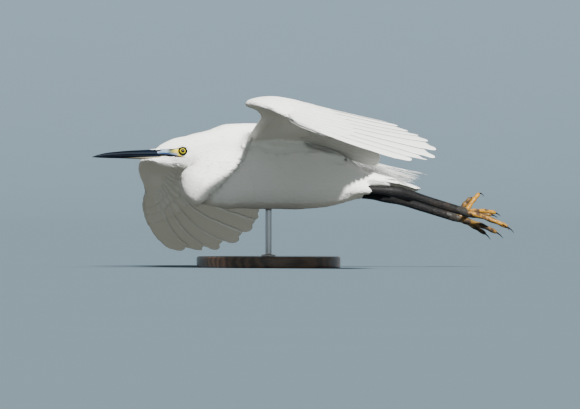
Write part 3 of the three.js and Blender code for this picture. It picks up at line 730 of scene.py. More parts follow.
@dataclass
class LegScales(Finish):
    """Black scaled leg skin with brown patches, partly worn plates and partly painted sheen, and painted
    shade keeping it nearly black from the hip down to the ankle.
    """

    name: str = "leg_scales"

    def dress(self) -> None:
        """Builds the self."""
        # Brown patches: partly worn plates, partly painted sheen where the light catches the leg.
        wear_and_sheen = self.span(self.noise(70, 5), 0.45, 0.8)
        scales = self.span(self.cells(800, (0.55, 1, 1)), 0.0, 0.12)
        black = self.blend(scales, (0.0015, 0.0015, 0.0018), (0.004, 0.004, 0.0045))
        # Painted shade: nearly black from the hip down to the ankle, browner below it.
        low = self.span(self.carried("along"), 0.5, 0.66)
        brown = self.blend(low, (0.006, 0.005, 0.005), (0.028, 0.020, 0.013))
        self.set(Base_Color=self.blend(self.maths("MULTIPLY", wear_and_sheen, 0.8), black, brown))
        self.set(Roughness=0.46, Specular_IOR_Level=0.16)
        self.bump(scales, 0.00012)


@dataclass
class ToeSkin(Finish):
    """Yellow toe skin in small scales, with dried brown mud in patches, darker at the toes' roots, and
    painted shade over the whole far foot.
    """

    name: str = "toe_skin"

    def dress(self) -> None:
        """Builds the self."""
        scales = self.span(self.cells(650, (0.7, 1, 1)), 0.0, 0.1)
        warm = self.blend(self.noise(160, 3), (0.27, 0.105, 0.0008), (0.44, 0.235, 0.002))
        yellow = self.blend(scales, (0.15, 0.06, 0.001), warm)
        patches = self.span(self.noise(95, 5), 0.46, 0.58)
        crust = self.blend(self.noise(500, 4), (0.018, 0.008, 0.002), (0.075, 0.032, 0.006))
        # Darker by the carried share: at the toes' roots and palm, and painted shade over the far foot.
        mud_and_shade = self.blend(self.carried("dark"), self.blend(patches, yellow, crust), (0.008, 0.006, 0.003))
        self.set(Base_Color=mud_and_shade)
        self.set(Roughness=self.maths("ADD", self.maths("MULTIPLY", patches, 0.4), 0.42))
        self.bump(scales, 0.00018)


@dataclass
class WoodFinish(Finish):
    """Dark turned hardwood under thin oil."""

    name: str = "dark_hardwood"

    def dress(self) -> None:
        """Builds the self."""
        inputs = {"Scale": 38, "Distortion": 7, "Detail": 4, "Detail Scale": 1.6}
        inputs["Vector"] = self.place((0.22, 1, 1))
        grain = add_node(self.tree, "ShaderNodeTexWave", "Fac", inputs, bands_direction="Y")
        pores = self.span(self.noise(900, 3, (0.05, 1, 1)), 0.52, 0.7)
        board = self.blend(grain, (0.030, 0.017, 0.011), (0.085, 0.050, 0.032))
        self.set(Base_Color=self.blend(self.maths("MULTIPLY", pores, 0.6), board, (0.012, 0.008, 0.006)))
        self.set(Roughness=self.maths("ADD", self.maths("MULTIPLY", grain, 0.12), 0.34))
        self.set(Coat_Weight=0.25, Coat_Roughness=0.2)
        self.bump(pores, -0.00008)


@dataclass
class SteelFinish(Finish):
    """Brushed steel rod."""

    name: str = "brushed_rod"

    def dress(self) -> None:
        """Builds the self."""
        brushed = self.noise(1400, 3, (1, 1, 0.03))
        self.set(Base_Color=self.blend(brushed, (0.42, 0.43, 0.44), (0.60, 0.61, 0.62)), Metallic=1.0)
        self.set(Roughness=self.maths("ADD", self.maths("MULTIPLY", brushed, 0.2), 0.2))
        self.bump(brushed, 0.00004)


@dataclass
class FloorFinish(Finish):
    """Plain pale floor."""

    name: str = "pale_floor"

    def dress(self) -> None:
        """Builds the self."""
        cloud = self.noise(3, 3)
        self.set(Base_Color=self.blend(cloud, (0.088, 0.124, 0.152), (0.092, 0.129, 0.157)), Roughness=0.95)
        self.set(Specular_IOR_Level=0.1)


def body_spot(points: Array) -> Array:
    """Where points of the body lie on the bake map, by x and the turn round its middle.

    Args:
        points: the places.

    Returns:
        Two numbers for each.
    """
    x, y, z = points.T
    middle = smooth(((-210, -50), (-150, -45), (-60, -28), (0, -20), (60, -10), (112, -12)), x)
    around = (np.arctan2(z - middle, y) / (2 * np.pi)) % 1
    return np.stack([0.01 + 0.97 * (x + 215) / 340, 0.5 + 0.48 * around], axis=1)


def wing_spot(s: Array, share: Array, left: Array | bool, over: Array | bool) -> Array:
    """Where points of a wing lie on the bake map, in a strip for each face of each wing."""
    band = np.where(left, 0.0, 0.24) + np.where(over, 0.0, 0.12)
    return np.stack([0.01 + 0.97 * (s + 12) / 278, band + 0.01 + 0.1 * share], axis=-1)


def strand(path: Array, radius: Array, sides: int, flat: float = 1.0) -> Surface:
    """A fine free strand of plumage, its patch on the bake map at its root's place.

    Args:
        path: points along it.
        radius: its radius at each.
        sides: corners of each ring.
        flat: width as a share of the height.

    Returns:
        The closed strand.
    """
    made = tube_surface(path, radius, sides, flat)
    along = made.carried["along"]
    made.patch = body_spot(path[:1]) + PATCH * np.stack([made.carried["around"], along], axis=1)
    # rise sets the painted shade towards the root in the plumage finish.
    made.carried = {"rise": 0.6 + 0.4 * along, "tint": 0 * along + 0.3, "barb": 0 * along}
    return made


@dataclass
class WingPlan:
    """The plan of one wing and how it bends: x against the distance s out from the shoulder."""

    side: Side
    shoulder_y: float = 25.0
    wrist_x: float = 46.0
    wrist_s: float = 157.0
    leading: Keys = (
        (-20, -3), (0, -3), (60, 1.5), (95, 8), (125, 27), (150, 50), (164, 53),
        (190, 46), (225, 30), (298, 5), (345, -27), (370, -53), (388, -81),
    )
    trailing: Keys = (
        (-20, -190), (0, -186), (20, -178), (35, -169), (50, -158), (75, -143), (100, -131), (130, -121),
        (157, -119), (204, -128), (268, -135), (305, -137), (340, -132), (365, -119), (388, -84),
    )
    camber: Keys = ((0, -0.05), (0.2, 0.22), (0.34, 0.1), (1, -1), (1.3, -1.5))
    sag: Keys = ((0, 26), (60, 25), (157, 24), (230, 14), (300, 5), (388, 4))
    core_chord: Keys = ((-12, 84), (90, 72), (157, 60), (215, 38), (234, 26), (262, 12))
    core_half: Keys = ((-12, 8.5), (90, 6.5), (157, 5.6), (215, 4.2), (234, 3.1), (262, 2.3))
    primaries: int = 10
    secondaries: int = 10
    tertials: int = 8

    def __post_init__(self) -> None:
        """Works out the bend's middle line a millimetre at a time."""
        slopes = {
            Side.LEFT: ((0, 6), (110, 7.5), (160, -11), (205, -32.5), (260, -30.5), (388, -32.5)),
            Side.RIGHT: ((0, 8), (110, 9), (160, -10), (205, -28), (260, -25), (388, -5)),
        }
        self.slope_keys = slopes[self.side]
        if self.side is Side.LEFT:
            longer = 24 * np.exp(-(((np.array([s for s, _ in self.trailing]) - 132) / 34) ** 2))
            self.trailing = tuple((s, x - more) for (s, x), more in zip(self.trailing, longer.tolist()))
        middle = np.radians(smooth(self.slope_keys, np.arange(420) + 0.5))
        self.line_y = self.shoulder_y + np.concatenate([[0], np.cumsum(np.cos(middle))])
        self.line_z = np.concatenate([[0], np.cumsum(np.sin(middle))])

    def bend(self, s: Array) -> tuple[Array, Array, Array]:
        """The middle line of the bend.

        Args:
            s: distances out from the shoulder.

        Returns:
            Its y, z and slope there.
        """
        slope = np.radians(smooth(self.slope_keys, s))
        at = np.arange(len(self.line_y))
        y = np.where(s <= 0, self.shoulder_y + s * np.cos(slope), np.interp(s, at, self.line_y))
        z = np.where(s <= 0, s * np.sin(slope), np.interp(s, at, self.line_z))
        return y, z, slope

    def place(self, x: Array, s: Array, h: Array) -> Array:
        """Points at plan x and s, at height h over the cambered surface.

        Args:
            x: places along the bird.
            s: distances out.
            h: heights.

        Returns:
            Places in the bird's frame.
        """
        x, s, h = np.broadcast_arrays(x, s, h)
        front = smooth(self.leading, s)
        chord = np.maximum(60, front - smooth(self.trailing, s))
        height = h + smooth(self.sag, s) * smooth(self.camber, (front - x) / chord)
        y, z, slope = self.bend(s)
        y, z = y - height * np.sin(slope), z + height * np.cos(slope)
        return np.stack([x, self.side.value * y, z], axis=-1)

    def span_of(self, points: Array) -> Array:
        """Distance s of points in space.

        Args:
            points: the places.

        Returns:
            The distance out of each.
        """
        y = points[:, 1] * self.side.value
        s = np.arange(-12, 266, 2.0)
        line_y, line_z, _ = self.bend(s)
        gap = (y[:, None] - line_y) ** 2 + (points[:, 2][:, None] - line_z) ** 2
        return s[np.argmin(gap, axis=1)]

    def spot(self, root: Pair, over: bool, row: int = 0) -> Array:
        """Where a feather rooted at plan x and s has its patch on the bake map."""
        front = float(smooth(self.leading, root[1]))
        share = (front - root[0]) / max(60, front - float(smooth(self.trailing, root[1]))) + 0.06 * row
        return wing_spot(np.array(root[1]), np.array(share), self.side is Side.LEFT, over)

    def plans(self) -> list["FeatherPlan"]:
        """The flight feathers.

        Returns:
            Their plans, from the body out to the leading edge.
        """
        made = []
        for i in range(self.tertials, 0, -1):
            t = (i - 1) / (self.tertials - 1)
            tip = 62 - 70 * t
            end = (float(smooth(self.trailing, tip)), tip)
            made.append(FeatherPlan((-34, 81 - 78 * t), end, 1, (9, 10)))
        for i in range(self.secondaries, 0, -1):
            t = (i - 1) / (self.secondaries - 1)
            tip = 147 - 74 * t
            root = (24 - 54 * t, 152 - 62 * t)
            made.append(FeatherPlan(root, (float(smooth(self.trailing, tip)), tip), 1, (6.5, 8)))
        for i in range(1, self.primaries + 1):
            t = (i - 1) / (self.primaries - 1)
            angle = math.radians(float(smooth(((1, 0), (4, 25.5), (6, 39), (8, 51.7), (10, 61.3)), i)))
            reach = float(smooth(((1, 163), (4, 199), (6, 235), (7, 255), (8.6, 269), (10, 260)), i))
            reach += (9 if self.side is Side.RIGHT else -3.5) * math.exp(-(((i - 6) / 1.8) ** 2))
            root = (26 - 5 * t, 160 + 66 * t)
            tip = (self.wrist_x - reach * math.cos(angle), self.wrist_s + reach * math.sin(angle))
            notch = min(1.0, max(0.0, (i - 2) / 3))
            made.append(FeatherPlan(root, tip, 1 + 10 * t, (10.5 - t, 12 + 3 * t), notch=notch))
        for k, plan in enumerate(made):
            a, b = made[min(k, len(made) - 2)], made[min(k, len(made) - 2) + 1]
            plan.spacing = a.apart(b)
        return made


@dataclass
class FeatherPlan:
    """One feather on a wing's or tail's plan."""

    root: Pair
    tip: Pair
    bow: float
    webs: Pair
    spacing: Pair = (6.0, 10.0)
    notch: float = 0.0

    def across(self) -> Array:
        """The direction square to the feather, towards the outer web."""
        return unit(np.array([self.tip[1] - self.root[1], self.root[0] - self.tip[0]], float))

    def apart(self, other: "FeatherPlan") -> Pair:
        """How far another feather's root and tip lie from this one's.

        Args:
            other: the other's plan.

        Returns:
            Both gaps, in millimetres.
        """
        across = self.across()
        root = np.subtract(other.root, self.root) @ across
        tip = np.subtract(other.tip, self.tip) @ across
        return float(root), float(tip)

    def toward(self, other: "FeatherPlan", f: float) -> "FeatherPlan":
        """The plan part of the way to another."""
        pairs = [(getattr(self, name), getattr(other, name)) for name in ("root", "tip", "webs", "spacing")]
        root, tip, webs, spacing = (tuple(mixed(np.array(a), np.array(b), f).tolist()) for a, b in pairs)
        return FeatherPlan(root, tip, self.bow + (other.bow - self.bow) * f, webs, spacing)


@dataclass
class VaneMaker:
    """Builds vanes with a raised shaft, two webs of barbs and a rounded end."""

    rows: int = 26
    web_columns: int = 3
    thickness: float = 0.32
    lift: float = 1.0
    crown: float = 0.3
    widest: float = 38.0
    round_from: Pair = (0.93, 0.91)
    finger_from: Pair = (0.955, 0.86)
    notch_from: float = 0.89
    notch_run: float = 0.065
    notch_depth: Pair = (0.42, 0.36)
    barb_gap: float = 2.4
    shaft_radius: float = 0.6
    seed: int = 11

    def __post_init__(self) -> None:
        """Starts the seeded draws."""
        self.random = np.random.default_rng(self.seed)

    def width(self, t: Array, round_from: float) -> Array:
        """Share of a web's full width at share t of the length, rounding off at the end."""
        root = mixed(0.45, 1.0, ease(t / 0.35))
        end = np.sqrt(np.clip(1 - ((t - round_from) / (1 - round_from)) ** 2, 0.0, 1))
        return np.where(t > round_from, root * np.maximum(end, 0.04), root)

    def vane(
        self, place: Place, plan: FeatherPlan, start: float = 0.0, end: float = 1.0,
        heights: Pair = (0.0, 0.0), spot: Array | None = None,
    ) -> Surface:
        """One feather.

        Args:
            place: turns plan x, s and height into points.
            plan: the feather's plan.
            start: share of the plan where the feather starts.
            end: share of the plan where it ends.
            heights: its height over the plan at both ends.
            spot: corner of its patch on the bake map.

        Returns:
            The closed vane with its shaft.
        """
        rows, cols = self.rows, self.web_columns
        local = 1 - (1 - np.linspace(0, 1, rows + 1)) ** 1.45
        t = mixed(start, end, local)
        root, tip, across = np.array(plan.root), np.array(plan.tip), plan.across()
        middle = (root + tip) / 2 + across * 2 * plan.bow
        shaft = ((1 - t) ** 2)[:, None] * root + (2 * t * (1 - t))[:, None] * middle + (t**2)[:, None] * tip
        heading = unit((2 * (1 - t))[:, None] * (middle - root) + (2 * t)[:, None] * (tip - middle))
        side = np.stack([heading[:, 1], -heading[:, 0]], axis=1)
        outer, inner = plan.webs
        gap = mixed(plan.spacing[0], plan.spacing[1], t)
        slim = plan.notch * ease((local - self.notch_from) / self.notch_run)
        inner = np.clip(gap * 1.3 - outer * 0.75, inner, self.widest)
        inner = (inner * (1 - self.notch_depth[0] * slim))[:, None]
        outer = (outer * (1 - self.notch_depth[1] * slim))[:, None]
        share = np.concatenate([-np.linspace(1, 0, cols + 1)[:-1], np.linspace(0, 1, cols + 1)])
        ragged = 1 + 0.03 * self.random.standard_normal((rows + 1, 1)) * (np.abs(share) > 0.99)
        ends = mixed(np.array(self.round_from), np.array(self.finger_from), plan.notch)
        wide = np.where(share < 0, self.width(local, ends[1])[:, None], self.width(local, ends[0])[:, None])
        u = np.where(share < 0, inner, outer) * share * wide * ragged
        swept = np.where(share < 0, 0.25, 0.15) * np.abs(u) * (1 - 0.6 * ease((local[:, None] - 0.8) / 0.2))
        xs = shaft[:, None] + side[:, None] * u[..., None] + heading[:, None] * (swept * 0.5)[..., None]
        lean = np.minimum(0.42, self.lift / np.abs(gap))[:, None]
        crown = self.crown * (1 - share**2)[None]
        base = mixed(heights[0], heights[1], ease(local))[:, None]
        rise = base + lean * u + crown
        ridge = np.where(share == 0, 1, 0)[None] * self.shaft_radius * mixed(1, 0.25, local)[:, None]
        half = self.thickness / 2 * mixed(1, 0.5, local)[:, None]
        top = place(xs[..., 0], xs[..., 1], rise + half + ridge * 0.45)
        under = place(xs[..., 0], xs[..., 1], rise - half - ridge * 0.7)
        length = float(np.linalg.norm(tip - root)) * (end - start)
        along = np.broadcast_to(local[:, None], u.shape)
        barb = (along * length + np.abs(u) * 1.1) * (2 * math.pi / self.barb_gap)
        patch = spot + PATCH * np.stack([np.broadcast_to(share, u.shape) * 0.5 + 0.5, along], axis=-1)
        # rise sets the painted shade towards the root in the plumage finish.
        values = {"barb": barb, "rise": 0.3 + 0.7 * along, "tint": np.full(u.shape, self.random.random())}
        body = slab(top, under, {name: both_faces(value) for name, value in values.items()})
        body.patch = np.tile(patch.reshape(-1, 2), (2, 1))
        return body


def grid_faces(rows: int, columns: int) -> list[Array]:
    """The faces of a closed thin body over a grid: both faces and the rim.

    Args:
        rows: points along.
        columns: points across.

    Returns:
        One array of four-cornered faces.
    """
    i, j = np.meshgrid(np.arange(rows - 1), np.arange(columns - 1), indexing="ij")
    a = (i * columns + j).ravel()
    under = rows * columns
    top = np.stack([a, a + 1, a + columns + 1, a + columns], axis=1)
    rim = np.concatenate([
        np.arange(columns - 1),
        np.arange(rows - 1) * columns + columns - 1,
        (rows - 1) * columns + np.arange(columns - 1, 0, -1),
        np.arange(rows - 1, 0, -1) * columns,
    ])
    after = np.roll(rim, -1)
    wall = np.stack([rim, rim + under, after + under, after], axis=1)
    return [np.concatenate([top, top[:, ::-1] + under, wall])]


@dataclass(frozen=True)
class NeckEdge:
    """The crisp line where the plumage of the folded neck ends over the breast, seen from the side.

    Attributes:
        line: places x and z along it, from the shoulder down.
        drop: how far the breast lies below the neck behind the line.
        lip: how far the neck stands up before it.
    """

    line: tuple[Pair, ...] = (
        (-14, 30), (-9, 8), (-7.5, -5), (-1.5, -22.5), (16.5, -44), (39.5, -63.5), (55, -82),
    )
    drop: float = 3.0
    lip: float = 1.0

    def behind(self, points: Array) -> Array:
        """How far behind the line points lie, less than nothing before it.

        Args:
            points: the places.

        Returns:
            One distance for each.
        """
        at = points[:, [0, 2]]
        nearest = np.full(len(at), np.inf)
        signed = np.zeros(len(at))
        for start, end in zip(self.line[:-1], self.line[1:]):
            start, run = np.array(start, float), np.subtract(end, start).astype(float)
            share = np.clip((at - start) @ run / (run @ run), 0, 1)
            gap = at - start - share[:, None] * run
            far = np.linalg.norm(gap, axis=1)
            side = np.sign(gap @ np.array([run[1], -run[0]]))
            nearer = far < nearest
            nearest = np.where(nearer, far, nearest)
            signed = np.where(nearer, far * side, signed)
        return signed

    def sunk(self, points: Array) -> Array:
        """How far the skin drops at each point.

        Args:
            points: the places.

        Returns:
            One depth for each.
        """
        d = self.behind(points)
        over = ease(d / 1.6 + 0.5)
        body = self.drop * over * np.exp(-np.maximum(d, 0) / 15)
        neck = -self.lip * np.exp(np.minimum(d, 0) / 12) * (1 - over)
        return (body + neck) * ease((12 - points[:, 2]) / 8) * ease((58 - np.abs(points[:, 1])) / 14)


def vertex_normals(surface: Surface) -> Array:
    """Outward directions at the points of a surface of quads and triangles.

    Args:
        surface: the surface.

    Returns:
        One direction for each point.
    """
    total = np.zeros_like(surface.points)
    for f in surface.faces:
        p = surface.points[f]
        cross = np.cross(p[:, 2] - p[:, 0], p[:, -1] - p[:, 1])
        for c in range(f.shape[1]):
            for axis in range(3):
                total[:, axis] += np.bincount(f[:, c], cross[:, axis], len(total))
    return unit(total)


def relaxed(surface: Surface, weight: Array, rounds: int) -> None:
    """Evens a surface out, each point moving towards the middle of its neighbours.

    Args:
        surface: the surface, whose points change.
        weight: how far each point moves, from 0 to 1.
        rounds: how many times.
    """
    rims = [np.stack([f, np.roll(f, -1, axis=1)], axis=-1) for f in surface.faces]
    pairs = np.concatenate([rim.reshape(-1, 2) for rim in rims])
    a, b = np.unique(np.sort(pairs, axis=1), axis=0).T
    count = len(surface.points)
    degree = np.bincount(a, minlength=count) + np.bincount(b, minlength=count)
    for _ in range(rounds):
        p = surface.points
        total = [np.bincount(a, p[b, c], count) + np.bincount(b, p[a, c], count) for c in range(3)]
        middle = np.stack(total, axis=1) / degree[:, None]
        surface.points = p + weight[:, None] * (middle - p)


@dataclass
class Skin:
    """The one skin under the plumage, of head, neck, body, tail root and the wings' flesh."""

    wings: tuple[WingPlan, WingPlan]
    voxel: float = 1.6
    wing_coat: float = 1.3
    neck_edge: NeckEdge = field(default_factory=NeckEdge)

    def shells(self) -> list[Surface]:
        """The closed bodies that the skin joins.

        Returns:
            The bodies, two of some, and the wings' flesh.
        """
        table = [
            (TORSO, 48, 44, (0.1, 0.08), 0, 1), (FAIRING, 24, 24, (0.15, 0.15), FAIRING_Y, 0.6),
            (FAIRING, 24, 24, (0.15, 0.15), -FAIRING_Y, 0.6), (NECK_UPPER, 44, 30, (0.05, 0.3), 0, 1),
            (NECK_LOWER, 44, 36, (0.1, 0.24), 0, 1), (HEAD, 44, 36, (0.08, 0.05), 0, 1),
            (TAIL_STEM, 28, 20, (0.1, 0.1), 0, 1), (SADDLE, 28, 20, (0.2, 0.2), 0, 0.8),
            (NECK_FILL, 36, 22, (0.1, 0.2), 0, 1), (BREAST, 40, 28, (0.12, 0.2), 0, 1),
            (CHIN, 28, 24, (0.06, 0.2), 0, 1), (RUMP, 32, 20, (0.1, 0.15), 0, 1),
            (MANTLE, 36, 26, (0.15, 0.2), 0, 1),
        ]
        for mirror in (1, -1):
            table.append((ARMPIT, 28, 28, (0.15, 0.2), mirror * ARMPIT_Y, 0.5))
            table.append((THIGH, 28, 24, (0.2, 0.06), mirror * THIGH_Y, 0.7))
        return [flesh_surface(*row) for row in table] + [self.wing_core(plan) for plan in self.wings]

    def wing_core(self, plan: WingPlan) -> Surface:
        """The flesh of one wing, thick in front and thin behind.

        Args:
            plan: the wing's plan.

        Returns:
            The closed body.
        """
        thickness = ((0, 0.30), (0.08, 0.62), (0.2, 0.85), (0.4, 0.97), (0.6, 0.84), (0.8, 0.64), (1, 0.42))
        rows, columns = 66, 18
        s = np.linspace(-12, 260, rows)[:, None]
        share = np.linspace(0, 1, columns)[None]
        back = share**1.5 * smooth(plan.core_chord, s) + self.wing_coat * (1 - share)
        half = np.maximum(smooth(plan.core_half, s) * smooth(thickness, share) - self.wing_coat, 0.5)
        x = smooth(plan.leading, s) - back
        return slab(plan.place(x, s, half), plan.place(x, s, -half), {})

    def build(self) -> Surface:
        """Joins the bodies under one even skin and smooths the folds between them.

        Returns:
            The skin.
        """
        joined = Surface.joined([Surface(s.points, s.faces) for s in self.shells()])
        rough = placed("skin_blank", mesh_from("skin_blank", joined.points, joined.faces))
        remesh = rough.modifiers.new("one_skin", "REMESH")
        remesh.mode, remesh.voxel_size = "VOXEL", self.voxel
        ready = rough.evaluated_get(bpy.context.evaluated_depsgraph_get()).to_mesh()
        points = np.empty(len(ready.vertices) * 3, np.float32)
        ready.vertices.foreach_get("co", points)
        corners = np.empty(len(ready.loops), np.int32)
        ready.loops.foreach_get("vertex_index", corners)
        counts = np.empty(len(ready.polygons), np.int32)
        ready.polygons.foreach_get("loop_total", counts)
        starts = np.concatenate([[0], np.cumsum(counts)[:-1]])
        faces = [corners[starts[counts == n][:, None] + np.arange(n)] for n in sorted(set(counts.tolist()))]
        bpy.data.objects.remove(rough)
        skin = Surface(points.reshape(-1, 3).astype(float), faces)
        self.soften(skin)
        return skin

    def soften(self, skin: Surface) -> None:
        """Rounds the folds at wings, neck and hips, then sets the breast back behind the neck.

        Args:
            skin: the skin, whose points change.
        """
        relaxed(skin, np.full(len(skin.points), 0.5), 4)
        x, y, z = skin.points.T
        root = np.hypot(np.abs(y) - ARMPIT_Y - 2, z - smooth(((-150, -24), (-60, -6), (10, -3)), x))
        fold = 0.5 * ease(1.5 - root / 20) * ease((14 - x) / 16) * ease((x + 185) / 20)
        relaxed(skin, fold, 130)
        x, y, z = skin.points.T
        neck = 0.5 * ease((62 - x) / 14) * ease((x + 20) / 18)
        neck = neck * ease(1.5 - np.abs(z + 20) / 24) * ease((np.abs(y) - 6) / 8)
        relaxed(skin, neck, 50)
        x, y, z = skin.points.T
        nape = 0.5 * ease((50 - x) / 20) * ease((x + 70) / 20)
        nape = nape * ease((z - 4) / 10) * ease((44 - np.abs(y)) / 10)
        relaxed(skin, nape, 60)
        x, y, z = skin.points.T
        hip = 0.5 * ease((-95 - x) / 20) * ease((x + 178) / 10) * ease(1.4 - np.abs(z + 52) / 18)
        relaxed(skin, hip, 25)
        skin.points = skin.points - vertex_normals(skin) * self.neck_edge.sunk(skin.points)[:, None]
        self.ripple(skin)

    def ripple(self, skin: Surface) -> None:
        """Lays faint ridges along the plumage, strongest on neck and breast.

        Args:
            skin: the skin, whose points change.
        """
        x, y, z = skin.points.T
        around = np.arctan2(z + 25, np.abs(y)) * 30
        long = 0.55 * np.sin(around / 3.1 + x / 34 + 1.3 * np.sin(x / 21))
        long = long + 0.45 * np.sin(around / 5.2 - x / 47 + 2)
        broad = np.sin(x / 11 + z / 17) * np.sin(z / 12 - x / 29 + 1)
        body = np.abs(y) < 44
        size = body * (0.22 * long + 0.34 * broad * ease((x + 20) / 60)) * ease((70 - x) / 20)
        skin.points = skin.points + vertex_normals(skin) * size[:, None]


@dataclass
class Coat:
    """Small feathers laid over the skin in overlapping rows, along the lie of the plumage."""

    skin: Surface
    wings: tuple[WingPlan, WingPlan]
    edge: NeckEdge
    wing_from: float = 36.0
    flank: Pair = (48.0, -18.0)
    wing_lie: Keys = ((-12, 0), (60, 6), (110, 12), (157, 24), (200, 42), (234, 54))
    rows: int = 4
    seed: int = 3

    def __post_init__(self) -> None:
        """Makes the skin ready for nearest-point questions."""
        self.random = np.random.default_rng(self.seed)
        polygons = [tuple(f) for faces in self.skin.faces for f in faces.tolist()]
        self.tree = BVHTree.FromPolygons([tuple(p) for p in self.skin.points.tolist()], polygons)

    def nearest(self, points: Array) -> tuple[Array, Array]:
        """The skin's nearest places to some points, and its outward direction there.

        Args:
            points: the points.

        Returns:
            The places and directions.
        """
        flat = points.reshape(-1, 3)
        places, outward = np.empty_like(flat), np.empty_like(flat)
        for i, p in enumerate(flat.tolist()):
            place, direction, _, _ = self.tree.find_nearest(p)
            places[i], outward[i] = place, direction
        return places.reshape(points.shape), outward.reshape(points.shape)

    def wing_share(self, points: Array) -> tuple[Array, Array, Array]:
        """Which points lie on a wing, and where.

        Args:
            points: the places.

        Returns:
            The wing's sign or 0 for none, the distance out and the share of the chord.
        """
        s = np.zeros(len(points))
        share = np.zeros(len(points))
        on = np.zeros(len(points))
        for plan in self.wings:
            mine = points[:, 1] * plan.side.value > self.wing_from
            if not mine.any():
                continue
            s[mine] = plan.span_of(points[mine])
            front = smooth(plan.leading, s[mine])
            chord = np.maximum(60, front - smooth(plan.trailing, s[mine]))
            share[mine] = np.clip((front - points[mine, 0]) / chord, 0, 1)
            on[mine] = plan.side.value
        torso_side = (np.abs(points[:, 1]) < self.flank[0]) & (points[:, 2] < self.flank[1])
        on[torso_side] = 0
        return on, s, share

    def lie(self, points: Array, outward: Array) -> Array:
        """The direction in which the plumage lies at each point.

        Args:
            points: the places.
            outward: the skin's direction at each.

        Returns:
            Directions along the skin.
        """
        flow = np.tile(np.array([-1.0, 0.0, 0.0]), (len(points), 1))
        x, y, z = points.T
        throat = 0.85 * ease((x + 2) / 48) * ease((-6 - z) / 52) * ease((76 - x) / 14)
        flow += throat[:, None] * np.array([0.45, 0.0, -0.95])
        rear = ease((-95 - x) / 60)
        flow[:, 1] -= rear * 0.35 * np.sign(y) * np.clip(np.abs(y) / 30, 0, 1)
        flow[:, 2] -= 0.12 * ease((40 - x) / 40) * np.clip(np.abs(y) / 35, 0, 1)
        on, s, _ = self.wing_share(points)
        for plan in self.wings:
            mine = on == plan.side.value
            angle = np.radians(smooth(self.wing_lie, s[mine]))
            _, _, slope = plan.bend(s[mine])
            outwards = np.stack([0 * slope, plan.side.value * np.cos(slope), np.sin(slope)], axis=1)
            flow[mine] = outwards * np.sin(angle)[:, None] + np.array([-1.0, 0, 0]) * np.cos(angle)[:, None]
        flow -= outward * np.einsum("ij,ij->i", flow, outward)[:, None]
        return unit(flow)

    def sizes(self, points: Array) -> tuple[Array, Array, Array, Array]:
        """Length, width, spacing and depth of the feathers at each point.

        Args:
            points: the places.

        Returns:
            Four sizes for each.
        """
        x = points[:, 0]
        length = smooth(FEATHER_LENGTH, x)
        slim = mixed(0.36, 0.27, ease((x - 5) / 45))
        spacing = length * mixed(0.13, 0.17, ease((x + 20) / 90))
        depth = smooth(COAT_DEPTH, x)
        on, s, share = self.wing_share(points)
        wing = on != 0
        wing_length = mixed(7, 17, np.clip(self.core_share(points, on, s) / 0.7, 0, 1))
        length = np.where(wing, wing_length, length)
        slim = np.where(wing, 0.42, slim)
        spacing = np.where(wing, wing_length * 0.17, spacing)
        depth = np.where(wing, mixed(1.1, 1.4, share), depth)
        return length, length * slim, spacing, depth

    def core_share(self, points: Array, on: Array, s: Array) -> Array:
        """How far back points lie on the wing's flesh, as a share of its depth."""
        plan = self.wings[0]
        return (smooth(plan.leading, s) - points[:, 0]) / smooth(plan.core_chord, s) * (on != 0)

    def bare(self, points: Array) -> Array:
        """True where no feathers grow: lores, eye, and where the bill stands.

        Args:
            points: the places.

        Returns:
            True or false for each.
        """
        x, _, z = points.T
        ahead = np.clip((x - EYE_PLACE[0]) / 4.5, 0, 1)
        eye = np.hypot(x - EYE_PLACE[0] - 4.5 * ahead, z - EYE_PLACE[2] - 1.4 * ahead)
        lore = (x > 71.5) & (z < smooth(LORE_TOP, x) - 0.2) & (z > smooth(LORE_LOW, x) + 0.4)
        bill = (x > 99.5) & (z > -15.2)
        on, s, _ = self.wing_share(points)
        far_back = (on != 0) & (self.core_share(points, on, s) > 0.86)
        return (eye < 5.6) | lore | bill | (x < -203) | far_back

    def roots(self, crowd: float = 3.5) -> tuple[Array, Array]:
        """Roots for feathers over the whole skin, evenly apart by the spacing there.

        Args:
            crowd: how many are tried for each that is kept.

        Returns:
            The roots and outward directions.
        """
        fans = [f[:, [0, k, k + 1]] for f in self.skin.faces for k in range(1, f.shape[1] - 1)]
        triangles = np.concatenate(fans)
        corner = self.skin.points[triangles]
        cross = np.cross(corner[:, 1] - corner[:, 0], corner[:, 2] - corner[:, 0])
        area = np.linalg.norm(cross, axis=1) / 2
        _, _, spacing, _ = self.sizes(corner.mean(axis=1))
        wanted = area / spacing**2 * crowd
        count = self.random.poisson(wanted)
        which = np.repeat(np.arange(len(area)), count)
        a, b = self.random.random((2, len(which)))
        over = a + b > 1
        a, b = np.where(over, 1 - a, a), np.where(over, 1 - b, b)
        c = corner[which]
        points = c[:, 0] + (c[:, 1] - c[:, 0]) * a[:, None] + (c[:, 2] - c[:, 0]) * b[:, None]
        outward = unit(cross[which])
        keep = ~self.bare(points)
        points, outward = points[keep], outward[keep]
        order = self.random.permutation(len(points))
        points, outward = points[order], outward[order]
        _, _, spacing, _ = self.sizes(points)
        tree = KDTree(len(points))
        for i, p in enumerate(points.tolist()):
            tree.insert(p, i)
        tree.balance()
        gone = np.zeros(len(points), bool)
        kept = []
        for i, p in enumerate(points.tolist()):
            if gone[i]:
                continue
            kept.append(i)
            for _, j, _ in tree.find_range(p, float(spacing[i])):
                gone[j] = True
        return points[kept], outward[kept]

    def bake_place(self, points: Array, outward: Array) -> Array:
        """Where each root lies on an unwrap of the skin."""
        on, s, share = self.wing_share(points)
        on_wing = wing_spot(s, share, on > 0, outward[:, 2] > 0)
        return np.where((on != 0)[:, None], on_wing, body_spot(points))

